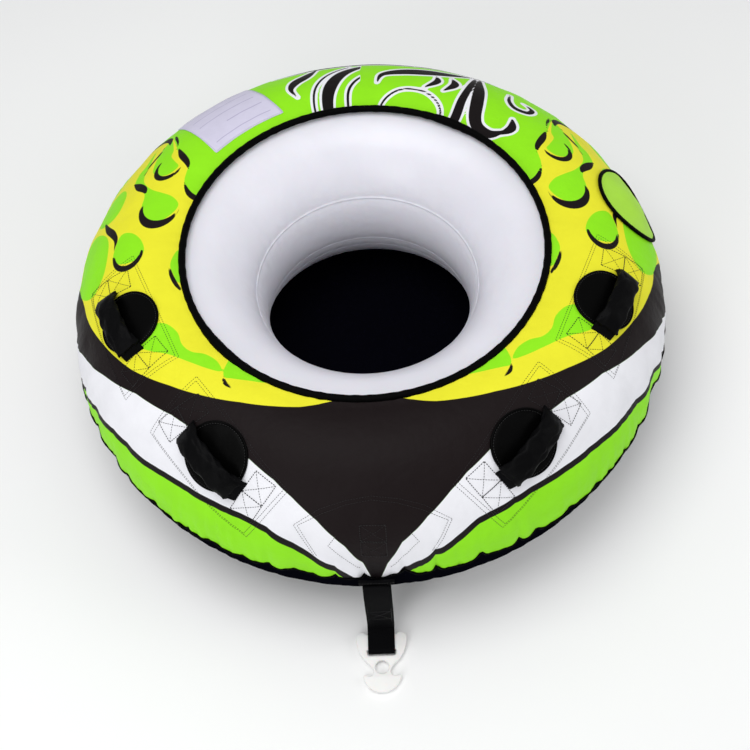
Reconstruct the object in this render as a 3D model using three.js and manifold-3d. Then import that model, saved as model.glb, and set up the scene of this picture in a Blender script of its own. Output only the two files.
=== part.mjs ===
// Towable water tube: an inflated bladder ring inside a sewn fabric cover, with four padded grips,
// a flap over the inflation valve and a tow strap that ends in a moulded hook.
// Millimetres. +Z up, floor at z = 0, origin on the tube's axis, tow point towards -Y.
// Angles round the ring start at the tow point and grow towards +X.
// Arc lengths over the ring start at its crest and grow outwards and down.
import * as THREE from 'three';
import { mergeVertices } from 'three/addons/utils/BufferGeometryUtils.js';
import Module from 'manifold-3d';

const wasm = await Module();
wasm.setup();

// ---- driving dimensions ----
const crestRadius = 390;          // axis of the tube to the top of the ring
const halfWidth = 190;            // ring section, across
const halfHeight = 205;           // ring section, up and down
const meanArc = (halfWidth + halfHeight) / 2;
const arcSkew = (halfHeight - halfWidth) / 4;
const ringSides = 48;
const sectionStep = 17;           // degrees of section between rings of facets
const clearance = 0.3;

const coverThickness = 2;
const hemAngle = -15;             // section angle of the cover's inner hem
const hemLift = 5;                // the hem stands this far off the ring
const bindingRadius = 8;
const bindingWall = 2.8;
const bindingMouth = 60;          // degrees of the binding's section left open for the cover's edge
const coverEdgeSlope = 7.5;       // degrees that the cover's edge slopes where it runs into the binding
const hemCordRadius = 3;
const floorSeamGap = 0.2;         // between the seat floor's edge and the base cover
const equatorGap = 1.4;           // degrees of section between each cover edge and the equator
const weltRadius = 4;

const bladderThickness = 3;
const bladderDepthUnderCover = 8.8;
const bladderDepthInWell = 0.8;
const weldAngle = 68.2;           // section angle of the four welded seams, either side of the ring
const weldGap = 0.15;             // degrees of section between two welded panels

const gripHalfLength = 50;
const gripHalfWidth = 23;
const gripHalfThickness = 8;
const gripArchHeight = 26;
const gripArchPower = 4;
const coreWidth = 42;
const coreThickness = 4;
const coreHalfLength = 60;
const slitInset = 22;             // each slit lies this far inside the middle of its anchor web
const tailDepth = 1.8;            // how far a strap tail dips into its slit
const anchorWeb = { width: 45, length: 90, top: -6.9, thickness: 1.2 };
const patchLayer = { top: -5.4, thickness: 0.8 };
const guardLayer = { bottom: 0.9, thickness: 2.6, rim: 1.2 };

const valveAngle = 102;
const valveArc = 158;
const flapRadius = 77.6;
const flapPipingRadius = 3.6;
const flapLift = 3.4;
const flapDome = 6;
const flapThickness = 1.5;
const valveHoleRadius = 52;       // opening in the cover
const valveBodyHole = 26.5;       // radius of the opening in the bladder

const label = { angle: -142.5, arc: 66, width: 168, height: 170, bottom: 0.5, thickness: 0.7 };

const webbingWidth = 50;
const webbingThickness = 2.8;
const hookThickness = 8.8;
const strapRoot = { y: -597, z: 203 };
const strapNeck = { y: -604, z: 27 };
const hookBar = { y: -628, z: 8.6 };
const hookDroop = 2.3;            // degrees, so the hook's tip lies on the floor

// ---- materials ----
const finish = (color, roughness, metalness = 0) =>
  new THREE.MeshStandardMaterial({ color, roughness, metalness });
const materials = {
  printedFabric: finish(0x92e81e, 0.72),
  limeFabric: finish(0xa0d73c, 0.75),
  blackFabric: finish(0x080814, 0.85),
  patchFabric: finish(0xd8d8de, 0.85),
  labelFabric: finish(0xcfc9e0, 0.6),
  bladderVinyl: finish(0xe5e4ec, 0.42),
  blackTape: finish(0x060605, 0.8),
  webbing: finish(0x0b0b0c, 0.85),
  gripFoam: finish(0x090909, 0.7),
  guardFoam: finish(0x0a0a0b, 0.6),
  hookPlastic: finish(0xf2f0ee, 0.4),
  valvePlastic: finish(0xe9e9e6, 0.45),
};

const tube = new THREE.Group();

// ---- geometry helpers ----
const radians = THREE.MathUtils.degToRad;
const smooth = (low, high, value) => THREE.MathUtils.smoothstep(value, low, high);

// Point of the ring's section at a section angle (0 at the crest, 90 at the outer equator).
function sectionPoint(angle, depth = 0) {
  const t = radians(angle);
  return new THREE.Vector2(
    crestRadius + (halfWidth - depth) * Math.sin(t),
    halfHeight + (halfHeight - depth) * Math.cos(t),
  );
}

const sectionAngleAt = (arc) => arc / meanArc + (arcSkew / meanArc) * Math.sin((2 * arc) / meanArc);

// Position, outward normal and the two tangents of the ring at an angle (degrees) and an arc (mm).
function ringFrame(angle, arc) {
  const t = sectionAngleAt(arc);
  const theta = radians(angle);
  const radius = crestRadius + halfWidth * Math.sin(t);
  const across = new THREE.Vector3(Math.sin(theta), -Math.cos(theta), 0);
  const around = new THREE.Vector3(Math.cos(theta), Math.sin(theta), 0);
  const position = across.clone().multiplyScalar(radius);
  position.z = halfHeight * (1 + Math.cos(t));
  const down = across.clone().multiplyScalar(halfWidth * Math.cos(t));
  down.z = -halfHeight * Math.sin(t);
  down.normalize();
  const normal = down.clone().cross(around);
  return { position, normal, around, down, radius };
}

// Lays a flat piece on the ring: its x runs along a direction turned by spin from the way round
// the ring, its y square to that, and its z stands off the ring.
function layOnRing(geometry, angle, arc, spin = 0, lift = () => 0) {
  const turn = radians(spin);
  const points = geometry.attributes.position;
  for (let i = 0; i < points.count; i += 1) {
    const x = points.getX(i);
    const y = points.getY(i);
    const around = x * Math.cos(turn) - y * Math.sin(turn);
    const up = x * Math.sin(turn) + y * Math.cos(turn);
    const radius = ringFrame(angle, arc - up).radius;
    const place = ringFrame(angle + THREE.MathUtils.radToDeg(around / radius), arc - up);
    place.position.addScaledVector(place.normal, points.getZ(i) + lift(x, y));
    points.setXYZ(i, place.position.x, place.position.y, place.position.z);
  }
  return geometry;
}

// A thin sheet, bottom to bottom + thickness off the ring, before it is laid.
function flatSheet(width, height, columns, rows, bottom, thickness) {
  const sheet = new THREE.BoxGeometry(width, height, thickness, columns, rows, 1);
  return sheet.translate(0, 0, bottom + thickness / 2);
}

// A sheet of one of the layers sewn under the cover.
function hiddenSheet(layer, width, height, columns, rows) {
  return flatSheet(width, height, columns, rows, layer.top - layer.thickness, layer.thickness);
}

// Turns a closed profile (listed anticlockwise, outer side upwards) about the Z axis.
function turned(profile, sides = ringSides) {
  return new THREE.LatheGeometry(profile, sides).rotateX(Math.PI / 2);
}

function circleProfile(radius, height, size, corners, start = 0, span = 360) {
  const closed = span === 360;
  const steps = closed ? corners : corners - 1;
  const profile = [];
  for (let i = 0; i <= steps; i += 1) {
    const a = radians(start + (span * i) / steps);
    profile.push(new THREE.Vector2(radius + size * Math.cos(a), height + size * Math.sin(a)));
  }
  return profile;
}

// A band of the ring's skin between two section angles, thick enough to be a solid.
function ringBand(from, to, depthAt, thickness) {
  const steps = Math.max(2, Math.round((to - from) / sectionStep));
  const angles = Array.from({ length: steps + 1 }, (_, i) => from + ((to - from) * i) / steps);
  const inner = angles.map((a) => sectionPoint(a, depthAt(a) + thickness));
  const outer = [...angles].reverse().map((a) => sectionPoint(a, depthAt(a)));
  return turned([...outer, ...inner, outer[0]]);
}

function toManifold(geometry) {
  const bare = geometry.clone();
  bare.deleteAttribute('normal');
  bare.deleteAttribute('uv');
  const merged = mergeVertices(bare, 1e-3);
  const corners = [];
  const index = merged.index.array;
  for (let i = 0; i < index.length; i += 3) {
    const [a, b, c] = [index[i], index[i + 1], index[i + 2]];
    if (a !== b && b !== c && c !== a) corners.push(a, b, c);
  }
  const mesh = new wasm.Mesh({
    numProp: 3,
    vertProperties: new Float32Array(merged.attributes.position.array),
    triVerts: new Uint32Array(corners),
  });
  return new wasm.Manifold(mesh);
}

function fromManifold(solid) {
  const mesh = solid.getMesh();
  const geometry = new THREE.BufferGeometry();
  geometry.setAttribute('position', new THREE.BufferAttribute(new Float32Array(mesh.vertProperties), 3));
  geometry.setIndex(new THREE.BufferAttribute(new Uint32Array(mesh.triVerts), 1));
  return geometry;
}

const cut = (geometry, tools) =>
  fromManifold(tools.reduce((solid, tool) => solid.subtract(toManifold(tool)), toManifold(geometry)));
const join = (geometries) =>
  fromManifold(geometries.map(toManifold).reduce((solid, other) => solid.add(other)));

function add(name, geometry, material, parent = tube) {
  const mesh = new THREE.Mesh(geometry, material);
  mesh.name = name;
  parent.add(mesh);
  return mesh;
}

// The matrix that takes a piece built flat on the origin to a place on the ring.
function seatOnRing(angle, arc, spin = 0) {
  const { position, normal, around, down } = ringFrame(angle, arc);
  const basis = new THREE.Matrix4().makeBasis(around, down.clone().negate(), normal);
  basis.setPosition(position);
  return basis.multiply(new THREE.Matrix4().makeRotationZ(radians(spin)));
}

// ---- bladder: four panels welded edge to edge ----
function bladderDepth(angle) {
  const awayFromOutside = Math.abs(angle - 90);
  const bare = smooth(98, 128, awayFromOutside);
  return bladderDepthUnderCover + (bladderDepthInWell - bladderDepthUnderCover) * bare;
}

function addBladder() {
  const panel = (from, to) => ringBand(from + weldGap, to - weldGap, bladderDepth, bladderThickness);
  const valveHole = new THREE.CylinderGeometry(valveBodyHole, valveBodyHole, 80, 24).rotateX(Math.PI / 2);
  valveHole.applyMatrix4(seatOnRing(valveAngle, valveArc));
  const panels = {
    bladder_top_panel: cut(panel(-weldAngle, weldAngle), [valveHole]),
    bladder_outer_wall: panel(weldAngle, 180 - weldAngle),
    bladder_lower_panel: panel(180 - weldAngle, 180 + weldAngle),
    bladder_inner_wall: panel(180 + weldAngle, 360 - weldAngle),
  };
  for (const [name, geometry] of Object.entries(panels)) add(name, geometry, materials.bladderVinyl);
}

// ---- grips: on each side, the middles of the two anchor webs, then the knuckle guard's radius and
// middle and the reinforcement patch's size and middle. Places are an angle and an arc. ----
const gripPlaces = [];
for (const [side, sign] of [['left', -1], ['right', 1]]) {
  gripPlaces.push({ name: `front_${side}`, low: [sign * 42.6, 88], high: [sign * 22.5, 158],
    guard: [61, sign * 31.9, 114.7], patch: [280, 136, sign * 32.9, 135] });
  gripPlaces.push({ name: `rear_${side}`, low: [sign * 59.6, 73], high: [sign * 82.2, 94],
    guard: [60, sign * 70.8, 67], patch: [251, 122, sign * 70.5, 89] });
}

function gripFrame({ low, high }) {
  const middle = [(low[0] + high[0]) / 2, (low[1] + high[1]) / 2];
  const radius = ringFrame(...middle).radius;
  const run = radians(high[0] - low[0]) * radius;
  const spin = THREE.MathUtils.radToDeg(Math.atan2(low[1] - high[1], run));
  const matrix = seatOnRing(middle[0], middle[1], spin);
  const toLocal = matrix.clone().invert();
  // The strap's ends enter the cover a little inside the webs that hold them.
  const share = 1 - slitInset / (Math.hypot(run, high[1] - low[1]) / 2);
  const ends = [low, high].map(([angle, arc]) => {
    const place = ringFrame(middle[0] + (angle - middle[0]) * share, middle[1] + (arc - middle[1]) * share);
    return place.position.applyMatrix4(toLocal);
  });
  return { middle, spin, matrix, ends };
}

// Height of the grip's middle line over its own flat frame.
function archHeight(x, ends) {
  const end = x < 0 ? ends[0] : ends[1];
  const foot = end.z - tailDepth;
  return gripArchHeight - (gripArchHeight - foot) * (x / end.x) ** gripArchPower;
}

function arched(geometry, ends) {
  const points = geometry.attributes.position;
  for (let i = 0; i < points.count; i += 1) {
    points.setZ(i, points.getZ(i) + archHeight(points.getX(i), ends));
  }
  return geometry;
}

function gripSleeve(ends) {
  const outline = new THREE.Shape();
  outline.absellipse(0, 0, gripHalfWidth, gripHalfThickness, 0, 2 * Math.PI);
  const bore = new THREE.Path();
  const halfBore = coreWidth / 2 - 4;
  const boreHeight = coreThickness / 2 + clearance;
  bore.moveTo(-halfBore, -boreHeight).lineTo(halfBore, -boreHeight);
  bore.lineTo(halfBore, boreHeight).lineTo(-halfBore, boreHeight).lineTo(-halfBore, -boreHeight);
  outline.holes.push(bore);
  const sleeve = new THREE.ExtrudeGeometry(outline,
    { depth: 2 * gripHalfLength, steps: 10, bevelEnabled: false, curveSegments: 6 });
  sleeve.translate(0, 0, -gripHalfLength).rotateX(Math.PI / 2).rotateZ(Math.PI / 2);
  return arched(sleeve, ends);
}

// The flat webbing inside the grip is drawn in to pass through the padding.
function gripCore(ends) {
  const core = new THREE.BoxGeometry(2 * coreHalfLength, 1, coreThickness, 12, 1, 1);
  const points = core.attributes.position;
  const halfInside = coreWidth / 2 - 4 - clearance;
  for (let i = 0; i < points.count; i += 1) {
    const spread = smooth(gripHalfLength, coreHalfLength, Math.abs(points.getX(i)));
    points.setY(i, 2 * points.getY(i) * (halfInside + (coreWidth / 2 - halfInside) * spread));
  }
  return arched(core, ends);
}

function strapTail(ends, which) {
  const endX = ends[which].x;
  const startX = Math.sign(endX) * (coreHalfLength + clearance);
  const tail = new THREE.BoxGeometry(Math.abs(endX - startX), coreWidth, coreThickness, 3, 1, 1);
  tail.translate((startX + endX) / 2, 0, 0);
  return arched(tail, ends);
}

function slitCutter(frame, which) {
  const end = frame.ends[which];
  const slit = new THREE.BoxGeometry(13, coreWidth + 4, 40);
  return slit.translate(end.x - Math.sign(end.x) * 2, 0, end.z).applyMatrix4(frame.matrix);
}

function knuckleGuard([radius, angle, arc], spin) {
  const { bottom, thickness, rim } = guardLayer;
  const rimWidth = 7;
  const top = bottom + thickness;
  const rings = [0, radius / 3, (2 * radius) / 3];
  const profile = [...rings.map((r) => [r, bottom]), [radius, bottom], [radius, top],
    [radius - rimWidth / 2, top + rim], [radius - rimWidth, top], ...rings.reverse().map((r) => [r, top])];
  const guard = turned(profile.map(([r, z]) => new THREE.Vector2(r, z)), 20);
  return layOnRing(guard, angle, arc, spin);
}

function addGrip(place) {
  const frame = gripFrame(place);
  const { name, low, high, patch, guard } = place;
  const seat = (geometry) => geometry.applyMatrix4(frame.matrix);
  add(`grip_sleeve_${name}`, seat(gripSleeve(frame.ends)), materials.gripFoam);
  add(`grip_core_${name}`, seat(gripCore(frame.ends)), materials.webbing);
  add(`strap_tail_low_${name}`, seat(strapTail(frame.ends, 0)), materials.webbing);
  add(`strap_tail_high_${name}`, seat(strapTail(frame.ends, 1)), materials.webbing);
  add(`knuckle_guard_${name}`, knuckleGuard(guard, frame.spin), materials.guardFoam);

  for (const [end, [angle, arc]] of [['low', low], ['high', high]]) {
    const web = hiddenSheet(anchorWeb, anchorWeb.width, anchorWeb.length, 2, 4);
    add(`anchor_web_${end}_${name}`, layOnRing(web, angle, arc, frame.spin), materials.webbing);
  }
  const [patchWidth, patchHeight, patchAngle, patchArc] = patch;
  const sheet = hiddenSheet(patchLayer, patchWidth, patchHeight, 10, 8);
  add(`reinforcement_patch_${name}`, layOnRing(sheet, patchAngle, patchArc, frame.spin), materials.patchFabric);
}

// ---- cover ----
function addTopCover() {
  const from = hemAngle + THREE.MathUtils.radToDeg((hemCordRadius + 0.6) / halfWidth);
  const to = 90 - equatorGap;
  const body = [hemAngle + 7];
  const steps = 6;
  for (let i = 1; i <= steps; i += 1) body.push(body[0] + ((to - body[0]) * i) / steps);
  const edge = (side) => sectionPoint(from, (side * coverThickness) / 2 - hemLift);
  const inner = [edge(1), ...body.map((a) => sectionPoint(a, coverThickness))];
  const outer = [edge(-1), ...body.map((a) => sectionPoint(a))].reverse();
  const valveHole = new THREE.CylinderGeometry(valveHoleRadius, valveHoleRadius, 60, 32).rotateX(Math.PI / 2);
  valveHole.applyMatrix4(seatOnRing(valveAngle, valveArc));
  const slits = gripPlaces.map(gripFrame).flatMap((frame) => [slitCutter(frame, 0), slitCutter(frame, 1)]);
  add('top_cover', cut(turned([...outer, ...inner, outer[0]]), [valveHole, ...slits]), materials.printedFabric);
}

function addBaseCover() {
  const angles = [];
  const steps = 5;
  const top = 90 + equatorGap;
  for (let i = 0; i <= steps; i += 1) angles.push(180 - ((180 - top) * i) / steps);
  const outer = angles.map((a) => sectionPoint(a));
  const inner = [...angles].reverse().map((a) => sectionPoint(a, coverThickness));
  add('base_cover', turned([...outer, ...inner, outer[0]]), materials.blackFabric);
  const reach = crestRadius - floorSeamGap;
  const disc = [[0, 0], [reach, 0], [reach, coverThickness], [0, coverThickness]];
  add('seat_floor', turned(disc.map(([r, z]) => new THREE.Vector2(r, z))), materials.blackFabric);
}

function addBindings() {
  const hem = sectionPoint(hemAngle, -hemLift);
  // The binding's section is open towards the cover, where the cover's edge runs in.
  const start = coverEdgeSlope + bindingMouth / 2;
  const span = 360 - bindingMouth;
  const outer = circleProfile(hem.x, hem.y, bindingRadius, 9, start, span);
  const inner = circleProfile(hem.x, hem.y, bindingRadius - bindingWall, 7, start, span).reverse();
  add('opening_binding', turned([...outer, ...inner, outer[0]]), materials.blackTape);
  add('hem_cord', turned(circleProfile(hem.x, hem.y, hemCordRadius, 6)), materials.blackTape);
  const equator = sectionPoint(90);
  add('seam_welt', turned(circleProfile(equator.x + 1, equator.y, weltRadius, 6)), materials.blackTape);
}

// ---- inflation valve under its flap ----
function addValve() {
  const seat = seatOnRing(valveAngle, valveArc);
  const turnedPart = (points, sides = 20) =>
    turned(points.map(([r, z]) => new THREE.Vector2(r, z)), sides).applyMatrix4(seat);
  add('valve_base', turnedPart([[20, -22], [42, -22], [42, -20], [25, -20], [25, -3], [20, -3], [20, -22]]),
    materials.valvePlastic);
  const seatProfile = [[7.5, -16], [19.6, -16], [19.6, -2.7], [24, -2.7], [24, -0.8], [7.5, -0.8], [7.5, -16]];
  add('valve_seat', turnedPart(seatProfile), materials.valvePlastic);
  add('valve_cap', turnedPart([[0, -12], [7.1, -12], [7.1, -0.5], [20, -0.5], [20, 2.4], [17, 3.6], [0, 3.6]]),
    materials.valvePlastic);

  const holeBinding = circleProfile(valveHoleRadius + 4.5, 1.5, 1.1, 6);
  add('valve_opening_binding', layOnRing(turned(holeBinding, 24), valveAngle, valveArc), materials.blackTape);

  const flapProfile = [0, 0.35, 0.7, 1].map((share) => new THREE.Vector2(share * flapRadius, flapLift));
  const flapTop = [...flapProfile].reverse().map((p) => new THREE.Vector2(p.x, flapLift + flapThickness));
  const dome = (x, y) => flapDome * (1 - smooth(14, 58, Math.hypot(x, y)));
  const flap = layOnRing(turned([...flapProfile, ...flapTop], 24), valveAngle, valveArc, 0, dome);
  add('valve_flap', flap, materials.limeFabric);
  const piping = circleProfile(flapRadius + flapPipingRadius + clearance, flapLift + 0.9, flapPipingRadius, 8);
  add('valve_flap_piping', layOnRing(turned(piping, 24), valveAngle, valveArc), materials.blackTape);
}

// ---- label: a plain sewn patch ----
function addLabel() {
  const sheet = flatSheet(label.width, label.height, 8, 7, label.bottom, label.thickness);
  add('label_patch', layOnRing(sheet, label.angle, label.arc), materials.labelFabric);
}

// ---- tow point ----
function ribbonAlong(curve, steps, thickness, width) {
  const left = [];
  const right = [];
  for (let i = 0; i <= steps; i += 1) {
    const p = curve.getPoint(i / steps);
    const d = curve.getTangent(i / steps);
    const offset = new THREE.Vector2(-d.y, d.x).multiplyScalar(thickness / 2);
    left.push(p.clone().add(offset));
    right.push(p.clone().sub(offset));
  }
  return extrudeAcross(new THREE.Shape([...right, ...left.reverse()]), width);
}

// Extrudes an outline drawn in the plane of (y, z) across x, centred on the tow line.
function extrudeAcross(shape, width) {
  const solid = new THREE.ExtrudeGeometry(shape, { depth: width, steps: 1, bevelEnabled: false, curveSegments: 6 });
  return solid.translate(0, 0, -width / 2).rotateX(Math.PI / 2).rotateZ(Math.PI / 2);
}

function towLoop() {
  const halfBar = 15;
  const innerHalf = hookThickness / 2 + clearance;
  const stadium = (target, half) => {
    target.moveTo(-halfBar, -half).lineTo(halfBar, -half);
    target.absarc(halfBar, 0, half, -Math.PI / 2, Math.PI / 2, false);
    target.lineTo(-halfBar, half);
    target.absarc(-halfBar, 0, half, Math.PI / 2, (3 * Math.PI) / 2, false);
    return target;
  };
  const outline = stadium(new THREE.Shape(), innerHalf + webbingThickness);
  outline.holes.push(stadium(new THREE.Path(), innerHalf));
  const loop = extrudeAcross(outline, webbingWidth);
  const neckLine = new THREE.QuadraticBezierCurve(
    new THREE.Vector2(strapNeck.y - hookBar.y, strapNeck.z - hookBar.z - 3.5),
    new THREE.Vector2(strapNeck.y - hookBar.y - 1, 9),
    new THREE.Vector2(6, innerHalf + webbingThickness),
  );
  return join([loop, ribbonAlong(neckLine, 5, 2 * webbingThickness, webbingWidth)]);
}

// The hook's outline in its own plane: x across, y from the bar towards the tip.
function hookPlate() {
  const plate = new THREE.Shape();
  plate.moveTo(-30, -16);
  plate.absarc(-36, -7, 11, Math.PI * 1.66, Math.PI * 1.02, true);
  plate.bezierCurveTo(-48, 14, -34, 34, -26, 40);
  plate.bezierCurveTo(-16, 48, -15, 54, -17, 60);
  plate.bezierCurveTo(-20, 68, -28, 66, -34, 70);
  plate.bezierCurveTo(-30, 84, -16, 95, 0, 95);
  plate.bezierCurveTo(16, 95, 30, 84, 34, 70);
  plate.bezierCurveTo(28, 66, 20, 68, 17, 60);
  plate.bezierCurveTo(15, 54, 16, 48, 26, 40);
  plate.bezierCurveTo(34, 34, 48, 14, 47, -7.7);
  plate.absarc(36, -7, 11, -Math.PI * 0.02, -Math.PI * 0.66, true);
  plate.lineTo(30, -14);
  plate.lineTo(-30, -14);
  return plate;
}

function addTowPoint() {
  const patch = hiddenSheet(patchLayer, 150, 118, 8, 6);
  add('tow_patch', layOnRing(patch, 0, 236), materials.patchFabric);
  const anchor = hiddenSheet(anchorWeb, webbingWidth, 124, 3, 6);
  add('tow_anchor_webbing', layOnRing(anchor, 0, 240), materials.webbing);

  const collar = new THREE.Shape();
  const [inner, outer, half] = [-586.2, -593.4, 5.5];
  collar.moveTo(inner, 203 - half).lineTo(inner, 203 + half).lineTo(outer + 2, 203 + half);
  collar.quadraticCurveTo(outer, 203 + half, outer, 203).quadraticCurveTo(outer, 203 - half, outer + 2, 203 - half);
  add('tow_collar', extrudeAcross(collar, 63), materials.webbing);

  const strapLine = new THREE.CubicBezierCurve(
    new THREE.Vector2(strapRoot.y, strapRoot.z), new THREE.Vector2(-618, 160),
    new THREE.Vector2(-604, 90), new THREE.Vector2(strapNeck.y, strapNeck.z),
  );
  add('tow_strap', ribbonAlong(strapLine, 10, 2 * webbingThickness, webbingWidth), materials.webbing);

  const hookEnd = new THREE.Group();
  hookEnd.position.set(0, hookBar.y, hookBar.z);
  hookEnd.rotation.x = radians(hookDroop);
  tube.add(hookEnd);
  add('tow_loop', towLoop(), materials.webbing, hookEnd);
  add('tow_hook', towHook(), materials.hookPlastic, hookEnd);
}

function towHook() {
  const plate = hookPlate();
  const slot = new THREE.Path();
  slot.moveTo(-27, 15.4).lineTo(27, 15.4).lineTo(27, 22).quadraticCurveTo(27, 27, 22, 27);
  slot.lineTo(-22, 27).quadraticCurveTo(-27, 27, -27, 22).lineTo(-27, 15.4);
  const hole = new THREE.Path();
  hole.absarc(0, 48, 12.5, 0, 2 * Math.PI, false);
  plate.holes.push(slot, hole);
  const solid = new THREE.ExtrudeGeometry(plate,
    { depth: hookThickness, steps: 1, bevelEnabled: false, curveSegments: 6 });
  return solid.translate(0, 0, -hookThickness / 2).rotateX(Math.PI);
}

addBladder();
addTopCover();
addBaseCover();
addBindings();
gripPlaces.forEach(addGrip);
addValve();
addLabel();
addTowPoint();

export default tube;
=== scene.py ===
import math

import bmesh
import bpy
import numpy as np
from mathutils import Matrix, Vector


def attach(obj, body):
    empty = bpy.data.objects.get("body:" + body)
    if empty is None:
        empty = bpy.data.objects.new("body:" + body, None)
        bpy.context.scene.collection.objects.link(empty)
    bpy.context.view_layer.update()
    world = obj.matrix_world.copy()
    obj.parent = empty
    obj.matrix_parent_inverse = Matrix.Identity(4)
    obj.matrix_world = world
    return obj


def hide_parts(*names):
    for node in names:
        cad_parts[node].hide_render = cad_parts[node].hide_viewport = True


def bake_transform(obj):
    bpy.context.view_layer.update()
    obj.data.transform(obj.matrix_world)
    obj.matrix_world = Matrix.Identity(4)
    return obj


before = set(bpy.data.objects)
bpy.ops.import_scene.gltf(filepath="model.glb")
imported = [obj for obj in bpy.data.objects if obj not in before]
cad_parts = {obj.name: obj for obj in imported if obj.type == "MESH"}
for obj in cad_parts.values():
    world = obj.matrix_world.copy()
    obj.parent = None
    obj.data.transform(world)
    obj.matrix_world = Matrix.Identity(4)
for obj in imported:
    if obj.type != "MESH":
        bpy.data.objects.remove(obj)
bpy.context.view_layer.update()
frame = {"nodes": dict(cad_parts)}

# The ring. Metres, degrees round it from the tow point towards +X, and metres of arc over it from its crest.
CREST_RADIUS = 0.390
HALF_WIDTH = 0.190
HALF_HEIGHT = 0.205
MEAN_ARC = (HALF_WIDTH + HALF_HEIGHT) / 2
ARC_SKEW = (HALF_HEIGHT - HALF_WIDTH) / 4
HEM_ANGLE = -15.0            # section angle of the cover's inner hem
HEM_LIFT = 0.005
BINDING_RADIUS = 0.008
WELD_ANGLE = 68.2
BLADDER_DEPTH_COVERED = 0.0088
BLADDER_DEPTH_BARE = 0.0008
PUCKER_COUNT = 56            # gathers round the seam between the covers
PUCKER_DEPTH = 0.009
PRINT_STRETCH = 7.3          # mm of print for each degree round the ring
MM = 0.001

FLAP = {"angle": 102.0, "arc": 0.158, "radius": 0.0776, "piping": 0.0036, "dome": 0.006, "lift": 0.0034}
VALVE_HOLE = 0.0563          # radius of the hole in the cover over the valve
VALVE_BORE = 0.0267          # and of the one in the bladder round it
GRIP = {"arch": 0.026, "slit_inset": 0.022, "tail_depth": 0.0018}
GRIP_STRAP = {"width": 0.042, "thickness": 0.004}
WEB = {"width": 0.045, "length": 0.090, "top": -0.0069, "thickness": 0.0012}
PATCH = {"top": -0.0054, "thickness": 0.0008}
TOW = {"width": 0.050, "ply": 0.0028}
HOOK_PLACE = (0, -0.628, 0.0086)
HOOK_LEAN = 2.3              # degrees the hook lies off flat, its tip lower
STITCH = {"length": 0.0042, "gap": 0.0006}


# ---- places on the ring ----

def section_angle(arc):
    return np.degrees(arc / MEAN_ARC + ARC_SKEW / MEAN_ARC * np.sin(2 * arc / MEAN_ARC))


def section_arc(angle):
    t = np.radians(angle)
    return MEAN_ARC * t - ARC_SKEW * np.sin(2 * t)


def ring_point(theta, section, lift=0.0):
    """The point at an angle round the ring and a section angle, lifted off the surface."""
    theta, section, lift = np.broadcast_arrays(np.radians(theta), np.radians(section), lift)
    normal_r = HALF_HEIGHT * np.sin(section)
    normal_z = HALF_WIDTH * np.cos(section)
    size = np.hypot(normal_r, normal_z)
    radius = CREST_RADIUS + HALF_WIDTH * np.sin(section) + lift * normal_r / size
    height = HALF_HEIGHT * (1 + np.cos(section)) + lift * normal_z / size
    return np.stack([radius * np.sin(theta), -radius * np.cos(theta), height], axis=-1)


def way_radius(section):
    """Radius of the way round the ring at a section angle."""
    return CREST_RADIUS + HALF_WIDTH * np.sin(np.radians(section))


def ring_frame(theta, arc):
    """Matrix of a flat piece seated on the ring: x round it, y up to its crest, z outwards."""
    section = section_angle(arc)
    t, a = math.radians(section), math.radians(theta)
    across = Vector((math.sin(a), -math.cos(a), 0))
    around = Vector((math.cos(a), math.sin(a), 0))
    down = (across * HALF_WIDTH * math.cos(t) - Vector((0, 0, HALF_HEIGHT * math.sin(t)))).normalized()
    normal = down.cross(around)
    place = Matrix([around, -down, normal]).transposed().to_4x4()
    place.translation = Vector(ring_point(theta, section))
    return place


def spun(x, y, spin):
    """Flat places turned by spin degrees, as lengths round the ring and up to its crest."""
    turn = math.radians(spin)
    return x * math.cos(turn) - y * math.sin(turn), x * math.sin(turn) + y * math.cos(turn)


def lay(points, theta, arc, spin=0.0):
    """Lays flat points (x, y, height) on the ring round a place, turned by spin."""
    points = np.asarray(points, float)
    around, up = spun(points[:, 0], points[:, 1], spin)
    section = section_angle(arc - up)
    return ring_point(theta + np.degrees(around / way_radius(section)), section, points[:, 2])


# ---- meshes ----

def mesh_piece(name, points, faces, material):
    mesh = bpy.data.meshes.new(name)
    mesh.from_pydata([tuple(p) for p in points], [], [tuple(f) for f in faces])
    mesh.update()
    piece = bpy.data.objects.new(name, mesh)
    bpy.context.scene.collection.objects.link(piece)
    mesh.materials.append(material)
    mesh.polygons.foreach_set("use_smooth", [True] * len(mesh.polygons))
    return piece


def grid_faces(rows, columns, wrap_rows=False, wrap_columns=False):
    """Quads of a grid whose points are listed row by row."""
    i = np.arange(rows if wrap_rows else rows - 1)[:, None]
    j = np.arange(columns if wrap_columns else columns - 1)[None, :]
    i2, j2 = (i + 1) % rows, (j + 1) % columns
    quads = np.stack([i * columns + j, i * columns + j2, i2 * columns + j2, i2 * columns + j], axis=-1)
    return quads.reshape(-1, 4).tolist()


def add_values(piece, name, values):
    layer = piece.data.attributes.new(name, "FLOAT", "POINT")
    layer.data.foreach_set("value", np.asarray(values, np.float32))


def select_none():
    bpy.ops.object.select_all(action="DESELECT")


def active(piece):
    """Selects one piece alone, for the operators that follow."""
    select_none()
    piece.select_set(True)
    bpy.context.view_layer.objects.active = piece


def apply_modifier(piece, kind, **settings):
    active(piece)
    modifier = piece.modifiers.new(kind.title(), kind)
    for key, value in settings.items():
        setattr(modifier, key, value)
    bpy.ops.object.modifier_apply(modifier=modifier.name)


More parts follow.
